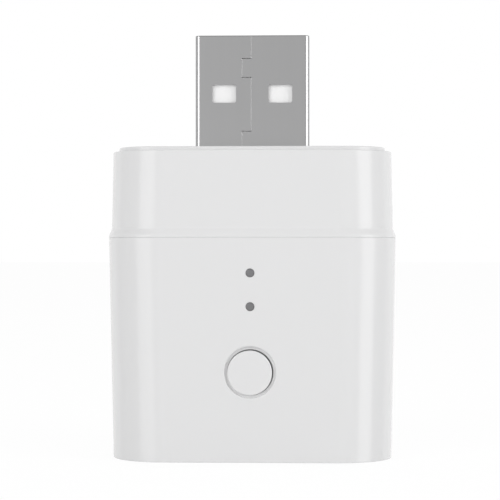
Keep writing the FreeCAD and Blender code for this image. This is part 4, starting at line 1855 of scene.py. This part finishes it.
@dataclass(frozen=True)
class PackedPieces:
    """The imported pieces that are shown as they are, each with its own finish.

    Attributes:
        terminal: Length of a part's plated end.
        transistor_body: Half length of the transistor's moulding.
        regulator_body: Half width of the regulator's moulding.
        can_base: Height of the can's black base.
        crystal_base: Height of the crystal's base.
        light_body: Height of a light's body.
    """

    terminal: float = 0.35 * MM
    transistor_body: float = 1.95 * MM
    regulator_body: float = 0.8 * MM
    can_base: float = 0.8 * MM
    crystal_base: float = 0.5 * MM
    light_body: float = 0.3 * MM

    def dress(self) -> None:
        """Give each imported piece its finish."""
        finishes = self._plain() | self._ended() | self._stacked()
        for name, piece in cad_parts.items():
            if piece.hide_render:
                continue
            material = finishes[name].material()
            for slot in piece.material_slots:
                slot.material = material
            LOG.info("%s: packed piece, finish %s", name, material.name)

    @staticmethod
    def _plain() -> dict[str, Finish]:
        """Pieces of one finish."""
        finishes = {
            "main_board": MASK_GREEN,
            "switch_base": SWITCH_BLACK,
            "switch_plunger": SWITCH_BLACK,
            "switch_cover": SWITCH_STEEL,
            "switch_dome": SWITCH_STEEL,
            "socket_shell": SOCKET_NICKEL,
            "plug_insulator": INSULATOR_WHITE,
            "socket_insulator": INSULATOR_WHITE,
            "radio_chip": CHIP_BLACK,
            "inductor": FERRITE,
        }
        for number in range(1, 5):
            finishes[f"plug_contact_{number}"] = GOLD_FLASH
            finishes[f"socket_contact_{number}"] = GOLD_FLASH
        return finishes

    def _ended(self) -> dict[str, BandedFinish]:
        """Parts with tinned ends or leads."""
        rows = (
            ("chip_antenna", ANTENNA_CERAMIC, 2, None),
            ("input_capacitor", CAPACITOR_TAN, 0, None),
            ("small_capacitors", CAPACITOR_TAN, 0, None),
            ("small_resistors", RESISTOR_GLAZE, 0, None),
            ("resettable_fuse", FUSE_GREEN, 0, None),
            ("power_transistor", CHIP_BLACK, 2, self.transistor_body),
            ("voltage_regulator", CHIP_BLACK, 0, self.regulator_body),
        )
        finishes = {}
        for name, finish, axis, body in rows:
            part = Extent.of(name)
            reach = body if body else part.size[axis] / 2 - self.terminal
            finishes[name] = BandedFinish(f"{name}_finish", finish, TIN, axis, part.middle[axis], reach)
        return finishes

    def _stacked(self) -> dict[str, BandedFinish]:
        """Parts whose foot has another finish than their top."""
        board = Extent.of("main_board")
        rows = (
            ("output_capacitor", SWITCH_BLACK, CAN_ALUMINIUM, board.high.y, self.can_base),
            ("radio_crystal", CRYSTAL_BASE, CRYSTAL_LID, board.high.y, self.crystal_base),
            ("upper_led", LIGHT_BODY, LIGHT_EPOXY, board.low.y, self.light_body),
            ("lower_led", LIGHT_BODY, LIGHT_EPOXY, board.low.y, self.light_body),
        )
        return {name: BandedFinish(f"{name}_finish", foot, top, 1, face, height)
                for name, foot, top, face, height in rows}


@dataclass(frozen=True)
class Softbox:
    """One soft lamp, aimed at the object.

    Attributes:
        name: Name of the lamp.
        azimuth: Degrees round the object, 0 in front and positive to the right.
        elevation: Degrees above the middle of the object.
        distance: Metres to the target.
        width: Metres across.
        height: Metres high.
        power: Watts.
    """

    name: str
    azimuth: float
    elevation: float
    distance: float
    width: float
    height: float
    power: float

    def build(self, target: Vector) -> None:
        """Make the lamp.

        Args:
            target: Point that it faces.
        """
        lamp = bpy.data.lights.new(self.name, "AREA")
        lamp.shape = "RECTANGLE"
        lamp.size = self.width
        lamp.size_y = self.height
        lamp.energy = self.power
        holder = bpy.data.objects.new(self.name, lamp)
        holder.visible_camera = False
        bpy.context.scene.collection.objects.link(holder)
        turn = math.radians(self.azimuth)
        rise = math.radians(self.elevation)
        away = Vector((math.sin(turn) * math.cos(rise), -math.cos(turn) * math.cos(rise), math.sin(rise)))
        holder.location = target + away * self.distance
        holder.rotation_euler = away.to_track_quat("Z", "Y").to_euler()


@dataclass(frozen=True)
class Ring:
    """Brightness of the surroundings in front, at the sides and behind, by their share of the way back.

    Attributes:
        front: Brightness in front.
        side: Brightness at the sides.
        back: Brightness behind.
        front_end: Where the front fades to the sides, from -1 in front to 1 behind.
        back_start: Where the sides turn to the back.
    """

    front: float
    side: float
    back: float
    front_end: tuple[float, float]
    back_start: tuple[float, float]

    def brightness(self, sheet: NodeSheet, heading: bpy.types.NodeSocket) -> bpy.types.NodeSocket:
        """Place the ring's nodes.

        Args:
            sheet: Where to place them.
            heading: Share of the way back.

        Returns:
            The brightness.
        """
        ahead = sheet.ramp(heading, *self.front_end, self.front, self.side)
        return sheet.ramp(heading, *self.back_start, ahead, self.back)


@dataclass(frozen=True)
class Studio:
    """Camera, floor, world and lamps around the object.

    Attributes:
        camera_side: How far the camera stands to the right.
        camera_height: Height of the camera.
        camera_gap: From the front face to the camera.
        camera_turn: Degrees that the camera turns to the left.
        focal_pixels: Focal length in pixels of the picture.
        sensor: Sensor width in millimetres.
        floor_side: Side of the floor.
        clip: Nearest and farthest distance that the camera shows.
        floor_albedo: How much light the floor gives back.
        floor_shade: How much of the floor's light the camera sees, and so the object's shadow.
        floor_glow: What the floor adds to that, up to white.
        plain_ring: Light of the surroundings, level with the object.
        plain_top: Light of the surroundings from above.
        gloss_ring: What glossy surfaces see, level with the object.
        gloss_top: What glossy surfaces see above.
        plain_rise: Heights of a direction between which the ring's light turns to that from above.
        gloss_rise: The same for what glossy surfaces see.
        lamps: Soft lamps.
    """

    camera_side: float = 7.2 * MM
    camera_height: float = 21.67 * MM
    camera_gap: float = 183.4 * MM
    camera_turn: float = 2.245
    focal_pixels: float = 1808.0
    sensor: float = 36.0
    floor_side: float = 6.0
    clip: tuple[float, float] = (0.01, 20.0)
    floor_albedo: float = 0.85
    floor_shade: float = 0.12
    floor_glow: float = 0.9
    plain_ring: Ring = Ring(1.02, 0.57, 1.3, (-0.85, -0.38), (0.15, 0.51))
    plain_top: float = 0.6
    gloss_ring: Ring = Ring(0.53, 0.40, 1.0, (-0.97, -0.8), (0.28, 0.51))
    gloss_top: float = 0.2
    plain_rise: tuple[float, float] = (0.0, 0.9)
    gloss_rise: tuple[float, float] = (0.25, 0.75)
    lamps: tuple[Softbox, ...] = (
        Softbox("left_softbox", -40.0, 5.0, 0.5, 0.28, 0.5, 0.85),
        Softbox("right_softbox", 61.0, 5.0, 0.5, 0.263, 0.5, 1.05),
    )

    def build(self, low: Vector, high: Vector) -> None:
        """Set up everything around the object.

        Args:
            low: Lowest corner of the object.
            high: Highest corner of the object.
        """
        self._camera(low)
        self._world()
        self._floor(low.z)
        for lamp in self.lamps:
            lamp.build((low + high) / 2)
        bpy.context.scene.view_settings.view_transform = "Standard"
        LOG.info("studio with %d lamps", len(self.lamps))

    def _camera(self, low: Vector) -> None:
        """Level camera in front of the object, a little to its right.

        Args:
            low: Lowest corner of the object.
        """
        lens = bpy.data.cameras.new("camera")
        lens.sensor_width = self.sensor
        lens.lens = self.sensor * self.focal_pixels / PICTURE_SIDE
        lens.clip_start = self.clip[0]
        lens.clip_end = self.clip[1]
        camera = bpy.data.objects.new("camera", lens)
        bpy.context.scene.collection.objects.link(camera)
        camera.location = (self.camera_side, low.y - self.camera_gap, self.camera_height)
        camera.rotation_euler = (math.radians(90), 0, math.radians(self.camera_turn))
        bpy.context.scene.camera = camera

    @staticmethod
    def _any_ray(sheet: NodeSheet, kinds: list[RayKind]) -> bpy.types.NodeSocket:
        """Whether a ray is one of several kinds.

        Args:
            sheet: Where to place the nodes.
            kinds: The kinds that count.

        Returns:
            1 for such a ray, otherwise 0.
        """
        path = sheet.add("ShaderNodeLightPath")
        found = path.outputs[kinds[0].value]
        for kind in kinds[1:]:
            found = sheet.math("MAXIMUM", found, path.outputs[kind.value])
        return found

    @staticmethod
    def _heading(sheet: NodeSheet, where: bpy.types.NodeSocket) -> bpy.types.NodeSocket:
        """Share of the way back of a direction, in plan.

        Args:
            sheet: Where to place the nodes.
            where: The direction.

        Returns:
            -1 in front, 0 at the sides and 1 behind.
        """
        level = sheet.add("ShaderNodeVectorMath", operation="MULTIPLY")
        sheet.feed(level.inputs[0], where)
        level.inputs[1].default_value = (1.0, 1.0, 0.0)
        heading = sheet.add("ShaderNodeVectorMath", operation="NORMALIZE")
        sheet.feed(heading.inputs[0], level.outputs[0])
        parts = sheet.add("ShaderNodeSeparateXYZ")
        sheet.feed(parts.inputs[0], heading.outputs[0])
        return parts.outputs["Y"]

    def _world(self) -> None:
        """White for the camera, a soft ramp for reflections, and a plain grey level for the rest."""
        world = bpy.data.worlds.new("studio")
        bpy.context.scene.world = world
        world.use_nodes = True
        world.node_tree.nodes.clear()
        sheet = NodeSheet(world.node_tree)
        output = sheet.add("ShaderNodeOutputWorld")
        background = sheet.add("ShaderNodeBackground")
        sheet.feed(output.inputs["Surface"], background.outputs[0])
        where = sheet.add("ShaderNodeTexCoord").outputs["Generated"]
        parts = sheet.add("ShaderNodeSeparateXYZ")
        sheet.feed(parts.inputs[0], where)
        heading = self._heading(sheet, where)
        gloss_around = self.gloss_ring.brightness(sheet, heading)
        plain_around = self.plain_ring.brightness(sheet, heading)
        glossy = sheet.ramp(parts.outputs["Z"], *self.gloss_rise, gloss_around, self.gloss_top)
        plain = sheet.ramp(parts.outputs["Z"], *self.plain_rise, plain_around, self.plain_top)
        seen = self._any_ray(sheet, [RayKind.GLOSSY, RayKind.TRANSMISSION])
        shown = sheet.between(seen, plain, glossy)
        white = sheet.between(self._any_ray(sheet, [RayKind.CAMERA]), shown, 1.0)
        sheet.feed(background.inputs["Color"], white)

    def _floor(self, height: float) -> None:
        """Pale floor that shows white and keeps the object's shadow.

        Args:
            height: Height of the floor.
        """
        half = self.floor_side / 2
        corners = [(-half, -half, height), (half, -half, height), (half, half, height), (-half, half, height)]
        mesh = bpy.data.meshes.new("floor")
        mesh.from_pydata(corners, [], [(0, 1, 2, 3)])
        mesh.materials.append(self._floor_material())
        floor = bpy.data.objects.new("floor", mesh)
        bpy.context.scene.collection.objects.link(floor)
        floor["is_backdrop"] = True

    def _floor_material(self) -> bpy.types.Material:
        """White to the camera, clear in reflections, and plain for all other light."""
        made = bpy.data.materials.new("pale_floor")
        made.use_nodes = True
        made.node_tree.nodes.clear()
        sheet = NodeSheet(made.node_tree)
        output = sheet.add("ShaderNodeOutputMaterial")
        plain = sheet.add("ShaderNodeBsdfDiffuse")
        plain.inputs["Color"].default_value = grey(self.floor_albedo)
        faint = sheet.add("ShaderNodeBsdfDiffuse")
        faint.inputs["Color"].default_value = grey(self.floor_shade)
        glow = sheet.add("ShaderNodeEmission")
        glow.inputs["Color"].default_value = grey(self.floor_glow)
        both = sheet.add("ShaderNodeAddShader")
        sheet.feed(both.inputs[0], faint.outputs[0])
        sheet.feed(both.inputs[1], glow.outputs[0])
        clear = sheet.add("ShaderNodeBsdfTransparent")
        seen = sheet.add("ShaderNodeMixShader")
        sheet.feed(seen.inputs[0], self._any_ray(sheet, [RayKind.CAMERA]))
        sheet.feed(seen.inputs[1], clear.outputs[0])
        sheet.feed(seen.inputs[2], both.outputs[0])
        mix = sheet.add("ShaderNodeMixShader")
        sheet.feed(mix.inputs[0], self._any_ray(sheet, list(RayKind)))
        sheet.feed(mix.inputs[1], plain.outputs[0])
        sheet.feed(mix.inputs[2], seen.outputs[0])
        sheet.feed(output.inputs["Surface"], mix.outputs[0])
        return made


def main() -> None:
    """Build the pieces in order, then the studio around them."""
    logging.basicConfig(level=logging.INFO, format="%(name)s: %(message)s")
    cad_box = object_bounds()
    plan = BodyPlan.measured()
    LowerHousing(plan, ButtonSeat.measured()).build()
    UpperHousing(plan).build()
    PushButton().build()
    LightPipe().build(plan)
    PlugShell().build()
    BoardDressing().build()
    PartMarks().build()
    PackedPieces().dress()
    Studio().build(*cad_box)


if __name__ == "__main__":
    main()
